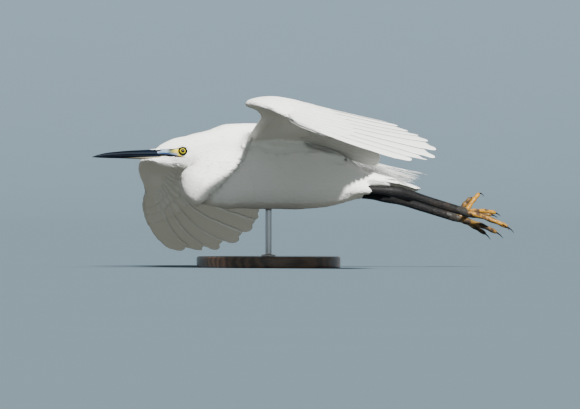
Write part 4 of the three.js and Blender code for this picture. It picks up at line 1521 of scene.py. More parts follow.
    def lay(self, roots: Array, outward: Array) -> Surface:
        """Feathers that follow the skin as they rise from their roots to the coat's face.

        Args:
            roots: where they grow.
            outward: the skin's direction at each.

        Returns:
            The feathers.
        """
        count, rows = len(roots), self.rows
        length, width, _, depth = self.sizes(roots)
        length = length * self.random.uniform(0.85, 1.18, count)
        width = width * self.random.uniform(0.85, 1.15, count)
        flow = self.lie(roots, outward)
        turn = self.random.normal(0, 0.09, count)
        across = np.cross(outward, flow)
        flow = unit(flow * np.cos(turn)[:, None] + across * np.sin(turn)[:, None])
        ahead_of_edge = self.edge.behind(roots) < 0
        short = ahead_of_edge & (roots[:, 2] < 10)
        length = np.where(short, np.minimum(length, self.room(roots, flow)), length)
        on, s, _ = self.wing_share(roots)
        left = (1.0 - self.core_share(roots, on, s)) * smooth(self.wings[0].core_chord, s)
        length = np.where(on != 0, np.minimum(length, np.maximum(left * 1.15, 4.0)), length)
        share = np.array([0, 0.3, 0.6, 0.85, 1.0])
        shape = np.array([0.5, 0.92, 1.0, 0.66, 0.08])
        face = depth * self.random.uniform(0.94, 1.06, count)
        points = np.empty((count, rows + 1, 3, 3))
        normals = np.empty((count, rows + 1, 3, 3))
        here, up = roots.copy(), outward.copy()
        for k in range(rows + 1):
            if k:
                here = here + flow * (length * (share[k] - share[k - 1]))[:, None]
                here, up = self.nearest(here)
                flow = unit(flow - up * np.einsum("ij,ij->i", flow, up)[:, None])
            side = np.cross(up, flow)
            level = np.where(ahead_of_edge, np.maximum(self.edge.sunk(here), 0), 0)
            height = face * (0.08 + 0.92 * (1 - (1 - share[k]) ** 2.6))
            height = height + level * ease(share[k : k + 1] * 1.5)
            for c, offset in enumerate((-1, 0, 1)):
                spot, edge_up = here, up
                if offset:
                    spot, edge_up = self.nearest(here + side * (offset * shape[k] * width / 2)[:, None])
                raised = height - (0.16 if offset else 0.0)
                points[:, k, c] = spot + edge_up * raised[:, None]
                normals[:, k, c] = unit(edge_up + side * (offset * 0.07))
        flat = self.lies_flat(points, length, width)
        points, normals, roots, outward = points[flat], normals[flat], roots[flat], outward[flat]
        count = len(points)
        start = (np.arange(count) * (rows + 1) * 3)[:, None]
        quads, caps = tuft_faces(rows)
        faces = [(start[:, :, None] + f[None]).reshape(-1, f.shape[1]) for f in (quads, caps)]
        along = np.tile(np.repeat(share, 3), count)
        corner = self.bake_place(roots, outward)
        spread = np.stack([np.tile([0, 0.5, 1.0], rows + 1), np.repeat(share, 3)], axis=1) * PATCH
        patch = (corner[:, None] + spread[None]).reshape(-1, 2)
        streak = np.tile([-1.0, 0.0, 1.0], (rows + 1) * count) * 9 + along * 2
        tint = np.repeat(self.random.random(count), (rows + 1) * 3)
        # rise sets the painted shade towards the root in the plumage finish.
        carried = {"rise": along, "tint": tint, "barb": streak}
        return Surface(points.reshape(-1, 3), faces, carried, normals.reshape(-1, 3), patch)

    def lies_flat(self, points: Array, length: Array, width: Array) -> Array:
        """True for feathers that no fold of the skin has twisted or torn.

        Args:
            points: the feathers' points.
            length: their lengths.
            width: their widths.

        Returns:
            True or false for each.
        """
        ahead = points[:, 1:, 1] - points[:, :-1, 1]
        across = points[:, :, 2] - points[:, :, 0]
        face = unit(np.cross(ahead, across[:, 1:]))
        bend = np.einsum("nkj,nkj->nk", face[:, 1:], face[:, :-1]).min(axis=1)
        turn = np.einsum("nj,nkj->nk", unit(ahead[:, 0]), unit(ahead)).min(axis=1)
        reach = np.linalg.norm(ahead, axis=2).sum(axis=1) / length
        spread = np.linalg.norm(across, axis=2).max(axis=1) / width
        return (bend > 0.75) & (turn > 0.3) & (reach > 0.7) & (reach < 1.5) & (spread < 1.35)

    def room(self, roots: Array, flow: Array) -> Array:
        """How long a feather of the neck can be before it passes the neck's edge."""
        d = self.edge.behind(roots)
        step = self.edge.behind(roots + flow * 2.0) - d
        return np.maximum(-d / np.maximum(step / 2.0, 0.2) + self.random.normal(1.2, 0.5, len(d)), 3.0)


def tuft_faces(rows: int) -> tuple[Array, Array]:
    """The faces of one small feather of three points a ring.

    Args:
        rows: its rows.

    Returns:
        Its quads and its two end caps.
    """
    quads = []
    for k in range(rows):
        a, b = 3 * k, 3 * k + 3
        quads += [(a, b, b + 1, a + 1), (a + 1, b + 1, b + 2, a + 2), (a + 2, b + 2, b, a)]
    last = 3 * rows
    return np.array(quads), np.array([(0, 1, 2), (last, last + 2, last + 1)])


@dataclass
class Wing:
    """One wing's flight feathers and larger coverts, in tiers.

    Attributes:
        plan: the wing's plan.
        rows_over: for each row over the flight feathers, how many, where it ends and its heights.
        rows_under: the same for the rows under them.
        seed: start of the draws.
    """

    plan: WingPlan
    rows_over: tuple[tuple[int, Pair, Pair], ...] = (
        (30, (0.60, 0.47), (1.0, 0.9)), (36, (0.46, 0.34), (1.6, 1.5)), (42, (0.34, 0.23), (2.1, 2.1)),
    )
    rows_under: tuple[tuple[int, Pair, Pair], ...] = (
        (30, (0.50, 0.40), (-0.9, -0.8)), (36, (0.38, 0.28), (-1.4, -1.3)),
        (42, (0.28, 0.19), (-1.9, -1.8)),
    )
    seed: int = 21

    def between(self, plans: list[FeatherPlan], at: float) -> FeatherPlan:
        """The plan at a place between two neighbours."""
        i = min(len(plans) - 2, int(at))
        return plans[i].toward(plans[i + 1], at - i)

    def row(
        self, maker: VaneMaker, plans: list[FeatherPlan], count: int, ends: Pair,
        heights: Pair, tier: int,
    ) -> list[Surface]:
        """One row of coverts over or under the flight feathers.

        Args:
            maker: builds the vanes.
            plans: the flight feathers they follow.
            count: how many.
            ends: share of the plans where the row ends, by the body and at the wing's tip.
            heights: over the plan, at both ends of a feather.
            tier: which row it is, from the longest feathers on.

        Returns:
            The feathers.
        """
        made = []
        step = (len(plans) - 1) / (count - 1)
        for k in range(count):
            jitter = maker.random.uniform(-0.12, 0.12) * step if 0 < k < count - 1 else 0.0
            plan = self.between(plans, k * step + jitter)
            plan.webs = tuple(w * step * 1.15 for w in plan.webs)
            plan.spacing = tuple(d * step for d in plan.spacing)
            stop = mixed(ends[0], ends[1], ease(k / (count - 1))) * maker.random.uniform(0.97, 1.03)
            spot = self.plan.spot(plan.root, heights[0] > 0, tier)
            made.append(maker.vane(self.plan.place, plan, 0.02, float(stop), heights, spot))
        return made

    def build(self) -> dict[str, Surface]:
        """The wing's feathers by piece.

        Returns:
            The feathers by the name of their piece.
        """
        plans = self.plan.plans()
        remiges = VaneMaker(rows=34, web_columns=4, seed=self.seed)
        place, spot = self.plan.place, self.plan.spot
        flight = [remiges.vane(place, plan, spot=spot(plan.root, True)) for plan in plans]
        large = VaneMaker(14, 2, 0.22, 0.5, 0.2, shaft_radius=0.3, seed=self.seed + 1)
        soft = VaneMaker(14, 2, 0.16, 0.2, 0.1, shaft_radius=0.12, seed=self.seed + 2)
        over, under = [], []
        for rows, made, maker in ((self.rows_over, over, large), (self.rows_under, under, soft)):
            for tier, (count, ends, heights) in enumerate(rows):
                made += self.row(maker, plans, count, ends, heights, tier)
        over += self.alula(large)
        return {
            "flight_feathers": Surface.joined(flight),
            "upper_coverts": Surface.joined(over),
            "under_coverts": Surface.joined(under),
        }

    def alula(self, maker: VaneMaker) -> list[Surface]:
        """The three small stiff feathers of the thumb along the leading edge.

        Args:
            maker: builds the vanes.

        Returns:
            The feathers.
        """
        made = []
        for k in range(3):
            root = (self.plan.wrist_x - 2 - 3 * k, self.plan.wrist_s + 2)
            tip = (30 - 6 * k, self.plan.wrist_s + 50 - 7 * k)
            plan = FeatherPlan(root, tip, 3, (4, 6), (5, 7))
            spot = self.plan.spot((root[0], root[1] + 3 * k), True, 3)
            made.append(maker.vane(self.plan.place, plan, 0, 1, (2.2 + 0.4 * k, 2.6 + 0.5 * k), spot))
        return made


@dataclass
class Tail:
    """The closed tail of twelve feathers, steep like a roof, with its coverts above and below."""

    arch_radius: float = 17.5
    quills: TailRow = (6, (-150, 13.5), (-251, 8.5), (0, 0), 8)
    covert_rows: tuple[TailRow, ...] = (
        (6, (-140, 22), (-226, 12.5), (3.5, 0.9), 9), (7, (-132, 26), (-206, 16), (5.5, 2.2), 8),
        (6, (-150, 18), (-222, 9), (-4.5, -0.9), 8),
    )
    ridge: Keys = ((-251, -54.5), (-235, -48.5), (-215, -42.5), (-190, -37.5), (-165, -34), (-130, -30))

    def place(self, x: Array, s: Array, h: Array) -> Array:
        """Points at plan x and s, at height h over the arch, left of the ridge for s over 0."""
        turn, radius = s / self.arch_radius, self.arch_radius + h
        z = smooth(self.ridge, x) - self.arch_radius + radius * np.cos(turn)
        return np.stack([x, radius * np.sin(turn), z], axis=-1)

    def row(
        self, maker: VaneMaker, count: int, root: Pair, tip: Pair,
        heights: Pair, round_end: float,
    ) -> list[Surface]:
        """A row of feathers from side to side.

        Args:
            maker: builds the vanes.
            count: feathers on each side.
            root: x of the roots and how far the outermost lies from the middle.
            tip: the same for the tips.
            heights: over the arch, at both ends of a feather.
            round_end: how much shorter the outermost is.

        Returns:
            The feathers, the middle ones on top.
        """
        made = []
        for mirror in (1, -1):
            for i in range(1, count + 1):
                t = (i - 0.5) / count
                plan = FeatherPlan(
                    (root[0], mirror * root[1] * t), (tip[0] + round_end * t**2, mirror * tip[1] * t), 0,
                    (4.4, 4.4), (12, 12),
                )
                sunk = 0.5 * (i - 1) * (1 if heights[1] >= 0 else -1)
                level = (heights[0] - sunk, heights[1] - sunk + 0.2 * mirror)
                at = self.place(*(np.array([float(v)]) for v in (*plan.root, level[0])))
                spot = body_spot(at * [1, 1, 1 if heights[1] >= 0 else 1.9])[0]
                made.append(maker.vane(self.place, plan, 0, 1, level, spot))
        return made

    def build(self) -> Surface:
        """The tail with its coverts.

        Returns:
            All the feathers.
        """
        long = VaneMaker(rows=22, web_columns=3, shaft_radius=0.5, widest=5.0, lift=0.0, seed=31)
        short = VaneMaker(14, 2, 0.24, shaft_radius=0.3, widest=5.0, lift=0.0, seed=32)
        made = self.row(long, *self.quills)
        for coverts in self.covert_rows:
            made += self.row(short, *coverts)
        return Surface.joined(made)


@dataclass
class BackPlumes:
    """The long loose plumes of the back, each a fine shaft with free hanging barbs."""

    layers: int = 3
    each: int = 9
    barbs: int = 26
    seed: int = 7

    def path(self, layer: float, side: float, random: np.random.Generator) -> Array:
        """The shaft of one plume.

        Args:
            layer: which layer, from the top.
            side: how far to the left, -1 to 1.
            random: the draws.

        Returns:
            Points along it.
        """
        lift = 2.1 * (layer - 1)
        tip_x = -212 - 10 * layer - 7 * random.random()
        points = np.array([
            [-100 - 6 * layer, 10 * side, 11.5 - 2.6 * layer + 0.3 * lift],
            [-146, 13 * side, -12 + lift],
            [-188, 16 * side, -26 + lift - 3 * abs(side)],
            [tip_x, 20 * side + 2 * (random.random() - 0.5), -44 + 2.5 * layer - 3 * abs(side)],
        ])
        points[-1, 2] += random.uniform(-3, 2)
        return through(points, 18)

    def build(self) -> Surface:
        """Every plume with its barbs.

        Returns:
            All the plumes.
        """
        random = np.random.default_rng(self.seed)
        made = []
        for layer in range(1, self.layers + 1):
            for i in range(self.each):
                side = (2 * i + 1 - self.each) / (self.each - 1) + random.uniform(-0.06, 0.06)
                shaft = self.path(layer, side, random)
                share = np.linspace(0, 1, len(shaft))
                root = strand(shaft, mixed(0.42, 0.12, share), 5)
                made += [root, *self.barbs_of(shaft, random)]
        return Surface.joined(made)

    def barbs_of(self, shaft: Array, random: np.random.Generator) -> list[Surface]:
        """The free barbs of one plume, longest half way along.

        Args:
            shaft: the plume's shaft.
            random: the draws.

        Returns:
            The barbs.
        """
        made = []
        ahead = unit(np.gradient(shaft, axis=0))
        for k in range(self.barbs):
            at = 0.3 + 0.68 * k / self.barbs
            spot = at * (len(shaft) - 1)
            low = int(spot)
            here = mixed(shaft[low], shaft[min(low + 1, len(shaft) - 1)], spot - low)
            heading = ahead[low]
            sideways = np.array([0, 1.0 if k % 2 else -1.0, random.uniform(-0.5, 0.1)])
            reach = random.uniform(16, 30) * (1 - 0.55 * abs(at - 0.6) / 0.4)
            middle = here + heading * reach * 0.45 + sideways * reach * 0.13
            end = here + heading * reach + sideways * reach * 0.2 + np.array([0, 0, -0.05 * reach])
            path = bezier(np.stack([here, middle, end]), 6)
            barb = strand(path, mixed(0.22, 0.07, np.linspace(0, 1, 6)), 3)
            barb.patch = barb.patch - body_spot(path[:1]) + body_spot(shaft[:1])
            made.append(barb)
        return made


@dataclass
class Bill:
    """The two halves of the bill, with slit nostrils in a shallow groove."""

    back_x: float = 88.0
    tip_x: float = 188.0
    ridge: Keys = (
        (88, -3.0), (99.5, -4.3), (121, -5.5), (141, -6.5), (168, -9.1), (180, -11.7), (188, -14.2),
    )
    mouth: Keys = ((88, -12.6), (141, -12.4), (168, -13.1), (188, -14.5))
    under: Keys = ((88, -18), (124, -16.8), (147, -16.1), (171, -15.6), (188, -14.8))
    half_width: Keys = ((88, 6), (124, 4.2), (152, 3), (172, 1.8), (188, 0.4))
    nostril_x: float = 108.0
    nostril_z: float = -6.6
    nostril_length: float = 8.0

    def half(self, edge: Keys, gap: float) -> Surface:
        """One half of the bill, from the mouth line out to its edge.

        Args:
            edge: its outer edge, by x.
            gap: how far it stands off the mouth line.

        Returns:
            The closed half.
        """
        rings, sides = 96, 33
        x = self.back_x + (self.tip_x - self.back_x) * np.linspace(0, 1, rings)
        mouth = smooth(self.mouth, x) + gap
        height = smooth(edge, x) - mouth
        turn = np.linspace(0, np.pi, sides)
        wide = smooth(self.half_width, x)[:, None] * np.cos(turn)
        z = mouth[:, None] + height[:, None] * np.maximum(0, np.sin(turn)) ** 0.8
        xs = np.broadcast_to(x[:, None], z.shape)
        off, up = xs - self.nostril_x, z - self.nostril_z
        groove = np.exp(-(((off - 6) / 16) ** 2)) * np.exp(-((up / 1.3) ** 2))
        slit = np.exp(-((off / (self.nostril_length / 2)) ** 4)) * np.exp(-((up / 0.55) ** 2))
        beside = np.where(np.abs(np.cos(turn)) > 0.2, 1, 0) * (1 if gap > 0 else 0)
        sunk = beside * (0.45 * groove + 0.9 * slit)
        wide = wide - np.sign(wide) * np.minimum(sunk, np.abs(wide) * 0.6)
        body = rings_surface(np.stack([xs, wide, z], axis=-1))
        body.carried["depth"] = np.tile(np.sin(turn), rings)
        return body


@dataclass
class Head:
    """Eyes, lids, bare face and the line of the mouth."""

    side: Side
    eye_radius: float = 5.2
    lid_radius: float = 4.5
    lid_tube: float = 1.12
    lid_out: float = 3.5
    gape: Keys = ((66, -17.4), (77, -16.2), (88, -14.4), (101, -12.7))
    brow_radius: Keys = ((0, 0.5), (0.5, 0.36), (0.75, 0.5), (0.9, 0.85), (1, 0.3))
    nostril_radius: Keys = ((0, 0.3), (0.4, 1.05), (0.7, 0.95), (1, 0.2))
    fold_radius: Keys = ((0, 0.15), (0.2, 0.38), (0.8, 0.42), (1, 0.3))
    chin_locks: int = 170
    forehead_locks: int = 36

    def surface_y(self, x: Array, z: Array, grow: float) -> Array:
        """Half width of the head at x and z."""
        middle, wide, up, down = at_x(HEAD, x)
        reach = np.where(z > middle, up, down) + grow
        return (wide + grow) * np.sqrt(np.clip(1 - ((z - middle) / reach) ** 2, 0.0, 1))

    def socket(self) -> tuple[Array, Array, Array, Array]:
        """The middle of one eye, the way it looks, and two directions square to that."""
        axis = unit(np.array(EYE_AXIS) * [1, self.side.value, 1])
        first = unit(np.cross(axis, [0, 0, 1.0]))
        return np.array(EYE_PLACE) * [1, self.side.value, 1], axis, first, np.cross(axis, first)

    def eye(self) -> Surface:
        """The eyeball with a low cornea.

        Returns:
            The ball, its points carrying how far out they lie round the pupil.
        """
        centre, axis, first, second = self.socket()
        polar = np.linspace(0.02, 0.97, 34) * np.pi
        turn = whole_turn(64)
        bulge = 1 + 0.05 * np.exp(-((polar / 0.55) ** 2))
        spoke = np.cos(turn)[:, None] * first + np.sin(turn)[:, None] * second
        ball = np.sin(polar)[:, None, None] * spoke + np.cos(polar)[:, None, None] * axis
        rings = centre + self.eye_radius * bulge[:, None, None] * ball
        body = rings_surface(rings)
        out = np.repeat(np.where(polar < np.pi / 2, np.sin(polar), 1.0), len(turn))
        spoke = np.tile(0.5 + 0.25 * np.sin(23 * turn) + 0.25 * np.sin(37 * turn + 1), len(polar))
        body.carried = {"out": out, "spoke": spoke}
        return body

    def lid(self) -> Surface:
        """The fleshy rim round one eye.

        Returns:
            The closed rim.
        """
        centre, axis, first, second = self.socket()
        centre = centre + axis * self.lid_out
        turn = whole_turn(72)
        small = whole_turn(14)
        spoke = np.cos(turn)[:, None] * first * 1.06 + np.sin(turn)[:, None] * second * 0.96
        tube = self.lid_tube * (1 + 0.07 * np.sin(19 * turn))
        ring = spoke[:, None] * (self.lid_radius + tube[:, None, None] * np.cos(small)[None, :, None])
        points = centre + ring + axis * (tube[:, None] * 0.8 * np.sin(small))[..., None]
        at = np.arange(turn.size * small.size).reshape(turn.size, small.size)
        beside, ahead = np.roll(at, -1, axis=1), np.roll(at, -1, axis=0)
        quads = np.stack([at, beside, np.roll(ahead, -1, axis=1), ahead], axis=-1).reshape(-1, 4)
        return facing_out(Surface(points.reshape(-1, 3), [quads]))

    def lore(self) -> Surface:
        """The bare skin from the bill's base back to the eye, a low patch on the head.

        Returns:
            The patch, with what its colours go by.
        """
        rows, columns = 60, 30
        up = np.linspace(0, 1, columns)[None]
        x = mixed(69 + 6.5 * ease(up / 0.4), 105.0, np.linspace(0, 1, rows)[:, None])
        low, top = smooth(LORE_LOW, x) - 0.5, smooth(LORE_TOP, x) + 0.5
        z = mixed(low, top, up)
        wrinkle = 0.10 * np.sin(z * 2.6 + 0.25 * x) * np.exp(-(((x - 90) / 10) ** 2))
        face = np.maximum(self.surface_y(x, z, -0.55), 0.6) + wrinkle
        under = np.maximum(self.surface_y(x, z, -1.7), 0.2)
        line = smooth(((70, -17.2), (78, -14.9), (86, -13.0), (98, -11.0), (106, -10.4)), x)
        carried = {
            "toward_eye": both_faces(1 - np.clip((x - 72) / 30, 0, 1)),
            "gape": both_faces(ease(line - z + 0.5)),
            "level": both_faces(np.broadcast_to(up, z.shape)),
            "rim": both_faces(ease((smooth(LORE_LOW, x) + 0.9 - z) / 0.8)),
        }
        faces = (np.stack([x, self.side.value * y, z], axis=-1) for y in (face, under))
        return slab(*faces, carried)

    def brow(self) -> Surface:
        """The short dark crease before the top of the eye.

        Returns:
            The crease.
        """
        x = np.linspace(74.5, 88.6, 28)
        z = smooth(((74.5, -5.4), (80, -6.0), (86, -6.9), (88.6, -7.3)), x)
        path = np.stack([x, self.side.value * (self.surface_y(x, z, -0.3)), z], axis=1)
        return tube_surface(path, smooth(self.brow_radius, np.linspace(0, 1, 28)), 8)

    def nostril(self) -> Surface:
        """The dark slit of one nostril, between bill and bare skin.

        Returns:
            The slit.
        """
        x = np.linspace(97.5, 106.5, 20)
        z = smooth(((97.5, -7.7), (102, -7.2), (106.5, -7.7)), x)
        y = np.maximum(self.surface_y(x, z, -0.4), 5.4 - 0.21 * (x - 100))
        path = np.stack([x, self.side.value * y, z], axis=1)
        return tube_surface(path, smooth(self.nostril_radius, np.linspace(0, 1, 20)), 8, 0.6)

    def short_locks(self) -> Surface:
        """The shaggy locks of the chin, and the short ones over the bill's base.

        Returns:
            The locks.
        """
        random = np.random.default_rng(17)
        made = []
        for share in np.arange(self.chin_locks) / self.chin_locks:
            x = 118 - 42 * share**0.8
            middle, wide, _, down = (float(v) for v in at_x(CHIN, x))
            across = random.uniform(-0.85, 0.85)
            root = np.array([x, wide * across, middle - down * math.sqrt(1 - across**2) * 0.9 + 0.3])
            reach = random.uniform(5, 8) * (0.5 + 0.5 * ease((120 - x) / 20)) * (1 - 0.45 * share)
            bow = root + reach * np.array([-0.55, 0.10 * across, -0.08])
            tip = root + reach * np.array([-1.0, 0.12 * across, random.uniform(-0.56, -0.24)])
            path = bezier(np.stack([root, bow, tip]), 7)
            made.append(strand(path, mixed(0.42, 0.08, np.linspace(0, 1, 7)), 6, 0.7))
        for share in np.arange(self.forehead_locks) / self.forehead_locks:
            x = 99 + 11.5 * share
            across = random.uniform(-1, 1)
            wide = 0.4 + 2.4 * (1 - (x - 99) / 12)
            root = np.array([x, wide * across, float(smooth(Bill.ridge, x)) - 0.6 * across**2])
            path = root + np.outer(np.linspace(0, 1, 6), [-4.5, 0.6 * across, 0.5])
            made.append(strand(path, mixed(0.55, 0.15, np.linspace(0, 1, 6)), 6))
        return Surface.joined(made)

    def mouth_line(self) -> Surface:
        """The dark fold of the mouth's corner, back under the eye.

        Returns:
            The fold.
        """
        x = np.linspace(67, 104, 40)
        z = smooth(self.gape, x)
        y = self.surface_y(x, z, -0.45)
        path = np.stack([x, self.side.value * y, z], axis=1)
        return tube_surface(path, smooth(self.fold_radius, np.linspace(0, 1, 40)), 8)


@dataclass
class Leg:
    """One leg and foot: a bare scaled shank, the ankle's knob, four toes and their claws."""

    side: Side
    # Painted shade: the least darkness of the whole foot, for the far foot.
    far_foot_shade: float = 0.0
    hip_side: float = 16.7
    thigh: tuple[float, float, float] = (-128, 13, -54)
    ankle: Pair = (-216, -62.5)
    toe_root: Pair = (-303, -88)
    shank_radius: Keys = (
        (0, 5.6), (0.2, 5.0), (0.36, 5.2), (0.44, 6.9), (0.50, 7.1), (0.57, 6.1), (0.66, 5.5), (0.9, 5.3),
        (1, 5.3),
    )
    palm_radius: Keys = ((0, 4.4), (0.4, 5.2), (0.75, 3.9), (1, 1.2))
    toes: tuple[tuple[float, ...], ...] = (
        (-29, -4, 21, 2.7, 3, 0.25, 8.5), (-53, -12, -3, 2.6, 4, 0.15, 4), (-64, 1, -27, 2.9, 4, 0.14, 4.4),
        (-52, 14, -26, 2.6, 3, 0.15, 4),
    )

    def shank(self) -> Surface:
        """The bare leg, with low rings of plates.

        Returns:
            The closed leg.
        """
        m = self.side.value
        path = np.array([
            [self.thigh[0], m * self.thigh[1], self.thigh[2]],
            [-172, m * 15.6, -58.2],
            [self.ankle[0], m * self.hip_side, self.ankle[1]],
            [-258, m * self.hip_side, -74.6],
            [self.toe_root[0], m * self.hip_side, self.toe_root[1]],
        ])
        count = 220
        middle = through(path, count)
        share = np.linspace(0, 1, count)
        radius = smooth(self.shank_radius, share)
        plates = 1 + 0.03 * np.abs(np.sin(share * 58 * np.pi / 2)) * ease((share - 0.15) / 0.1)
        return tube_surface(middle, radius * plates, 24, 0.68)

    def toe_paths(self) -> list[tuple[Array, Array, float]]:
        """The middle lines of the toes and claws.

        Returns:
            For each toe: its line, its claw's, its radius.
        """
        root = np.array([self.toe_root[0], self.side.value * self.hip_side, self.toe_root[1]])
        made = []
        for tx, ty, tz, radius, arch, claw_share, hook in self.toes:
            claw_tip = root + [tx, self.side.value * ty, tz]
            end = mixed(root, claw_tip, 1 - claw_share) + [0, 0, hook]
            middle = mixed(root, end, 0.5) + [0, 0, arch]
            toe = bezier(np.stack([root, middle, end]), 60)
            heading = unit(end - middle)
            crown = end + heading * 0.6 * np.linalg.norm(end - claw_tip)
            claw = bezier(np.stack([toe[-4], crown, claw_tip]), 16)
            made.append((toe, claw, radius))
        return made

    def foot(self) -> Surface:
        """The four toes with their pads, grown together at the root.

        Returns:
            The foot without its claws.
        """
        parts = []
        for toe, _, radius in self.toe_paths():
            share = np.linspace(0, 1, len(toe))
            joints = 1 + 0.13 * np.cos(share * 2 * np.pi * 3.2)
            size = 1.2 * radius * smooth(((0, 1.1), (0.4, 0.9), (0.85, 0.85), (1, 0.6)), share) * joints
            part = tube_surface(toe, size, 18)
            # Darker at the toe's root; the far foot's painted shade sets the least darkness.
            part.carried = {"dark": np.maximum(1 - ease(part.carried["along"] / 0.16), self.far_foot_shade)}
            parts.append(part)
        m = self.side.value
        root = np.array([self.toe_root[0], m * self.hip_side, self.toe_root[1]])
        path = root + through(np.array([[13, 0, 4.4], [4, 0, 1.2], [-8, -m, -2.4], [-20, -m, -6]]), 24)
        palm = tube_surface(path, smooth(self.palm_radius, np.linspace(0, 1, 24)), 20, 0.85)
        palm.carried = {"dark": np.maximum(1 - ease((palm.carried["along"] - 0.5) / 0.4), self.far_foot_shade)}
        parts.append(palm)
        return Surface.joined(parts)

    def claws(self) -> Surface:
        """The hooked claws.

        Returns:
            All four.
        """
        made = []
        for _, claw, _ in self.toe_paths():
            share = np.linspace(0, 1, len(claw))
            made.append(tube_surface(claw, mixed(1.35, 0.2, share**0.8), 12, 0.8))
        return Surface.joined(made)


@dataclass
class Stand:
    """The turned base and the rod."""

    radius: float = 90.0
    height: float = 14.0
    edge: float = 2.5
    rod_radius: float = 4.0

    def turned(
        self, profile: list[Pair], sides: int, name: str, material: bpy.types.Material
    ) -> bpy.types.Object:
        """A round piece about the row frame's upright axis.

        Args:
            profile: radius and height of points down its side.
            sides: corners of each ring.
            name: its name.
            material: its finish.

        Returns:
            The piece.
        """
        turn = whole_turn(sides)
        circle = np.stack([np.cos(turn), np.sin(turn), 0 * turn], axis=1)
        body = rings_surface(np.array([radius * circle + [0, 0, z] for radius, z in profile]))
        mesh = mesh_from(name, body.points / 1000, body.faces)
        mesh.materials.append(material)
        return placed(name, mesh)

    def base(self, material: bpy.types.Material) -> bpy.types.Object:
        """The wooden disc, its edge rounded over and a fine line turned into it.

        Args:
            material: its finish.

        Returns:
            The piece.
        """
        r, h, e = self.radius, self.height, self.edge
        profile = [(0.5, 0), (r - 1, 0), (r - 0.25, 0.25), (r, 1)]
        profile += [(r, z) for z in (3, 6, h - e)]
        bend = np.linspace(0.2, math.pi / 2, 8)
        profile += [(r - e + e * math.cos(a), h - e + e * math.sin(a)) for a in bend]
        profile += [(r - 7, h), (r - 7.4, h - 0.5), (r - 8.4, h - 0.5), (r - 8.8, h)]
        profile += [(rad, h) for rad in np.linspace(r - 12, 1, 10)]
        return self.turned(profile, 160, "stand_base_turned", material)

    def rod(self, top: float, material: bpy.types.Material) -> bpy.types.Object:
        """The rod with a low collar at the base.

        Args:
            top: how high it stands.
            material: its finish.

        Returns:
            The piece.
        """
        r, h = self.rod_radius, self.height
        profile = [(0.5, h), (r + 5, h), (r + 5, h + 1.6), (r + 4.4, h + 2.2)]
        profile += [(r + 0.6, h + 2.6), (r, h + 3.2)]
        profile += [(r, z) for z in np.linspace(h + 5, top, 20)] + [(0.5, top)]
        return self.turned(profile, 64, "stand_rod_turned", material)


@dataclass
class Studio:
    """Floor, light and camera."""

    heading_degrees: float = 22.0
    lens: float = 500.0
    sensor: float = 36.0
    frame_width: float = 0.725
    aim: tuple[float, float, float] = (-0.0222, 0.0168, 0.0789)
    key: float = 13.0
    softness: float = 3.0
    key_colour: Colour = (1.0, 0.985, 0.95)
    key_from: tuple[float, float, float] = (-0.05, 0.76, 0.65)
    wash: float = 0.34
    wash_softness: float = 60.0
    wash_colour: Colour = (0.72, 0.9, 1.0)
    wash_from: tuple[float, float, float] = (0.1, 1.0, -0.12)
    above: Colour = (0.36, 0.38, 0.40)
    below: Colour = (0.20, 0.205, 0.17)
    sweep: float = 30.0

    def floor(self) -> None:
        """A wide plain floor that rises far behind the bird in one even sweep."""
        heading = math.radians(self.heading_degrees)
        back = np.array([-math.sin(heading), -math.cos(heading), 0])
        across = np.array([math.cos(heading), -math.sin(heading), 0])
        turn = np.linspace(0, math.radians(75), 40)
        behind = np.concatenate([np.linspace(-40, 24, 10), 25 + self.sweep * np.sin(turn)])
        height = np.concatenate([np.zeros(10), self.sweep * (1 - np.cos(turn))])
        line = behind[:, None] * back + np.array([0, 0, 1.0]) * height[:, None]
        points = np.stack([line - 60 * across, line + 60 * across], axis=1).reshape(-1, 3)
        k = np.arange(len(line) - 1) * 2
        mesh = mesh_from("floor", points, [np.stack([k, k + 2, k + 3, k + 1], axis=1)])
        mesh.materials.append(FloorFinish().material)
        floor = placed("floor", mesh)
        floor.visible_diffuse = False

    def sun(self, name: str, energy: float, spread: float, colour: Colour, source: Colour) -> None:
        """One light from far away.

        Args:
            name: its name.
            energy: its strength.
            spread: how wide it looks, in degrees.
            colour: its colour.
            source: the direction it comes from.
        """
        data = bpy.data.lights.new(name, "SUN")
        data.energy, data.angle, data.color = energy, math.radians(spread), colour
        lamp = placed(name, data)
        lamp.rotation_mode = "QUATERNION"
        lamp.rotation_quaternion = Vector(source).to_track_quat("Z", "Y")

    def lights(self) -> None:
        """One high key light from the camera's side and an even room, darker from below."""
        self.sun("key", self.key, self.softness, self.key_colour, self.key_from)
        self.sun("wash", self.wash, self.wash_softness, self.wash_colour, self.wash_from)
        world = bpy.data.worlds.new("room")
        world.use_nodes = True
        tree = world.node_tree
        view = add_node(tree, "ShaderNodeTexCoord", "Generated")
        height = add_node(tree, "ShaderNodeSeparateXYZ", "Z", {"Vector": view})
        inputs = {"Value": height, "From Min": -0.5, "From Max": 0.7}
        share = add_node(tree, "ShaderNodeMapRange", "Result", inputs)
        colour = add_ramp(tree, share, ((0.0, self.below), (1.0, self.above)))
        fill(tree, tree.nodes["Background"].inputs["Color"], colour)
        bpy.context.scene.world = world

    def camera(self) -> None:
        """The camera, level with the bird and in front of its left side."""
        heading = math.radians(self.heading_degrees)
        back = Vector((math.sin(heading), math.cos(heading), 0))
        distance = self.frame_width * self.lens / self.sensor
        data = bpy.data.cameras.new("camera")
        data.lens, data.sensor_width = self.lens, self.sensor
        data.clip_start, data.clip_end = 0.1, 200
        camera = placed("camera", data)
        camera.location = Vector(self.aim) + back * distance
        camera.rotation_mode = "QUATERNION"
        camera.rotation_quaternion = (-back).to_track_quat("-Z", "Y")
        bpy.context.scene.camera = camera


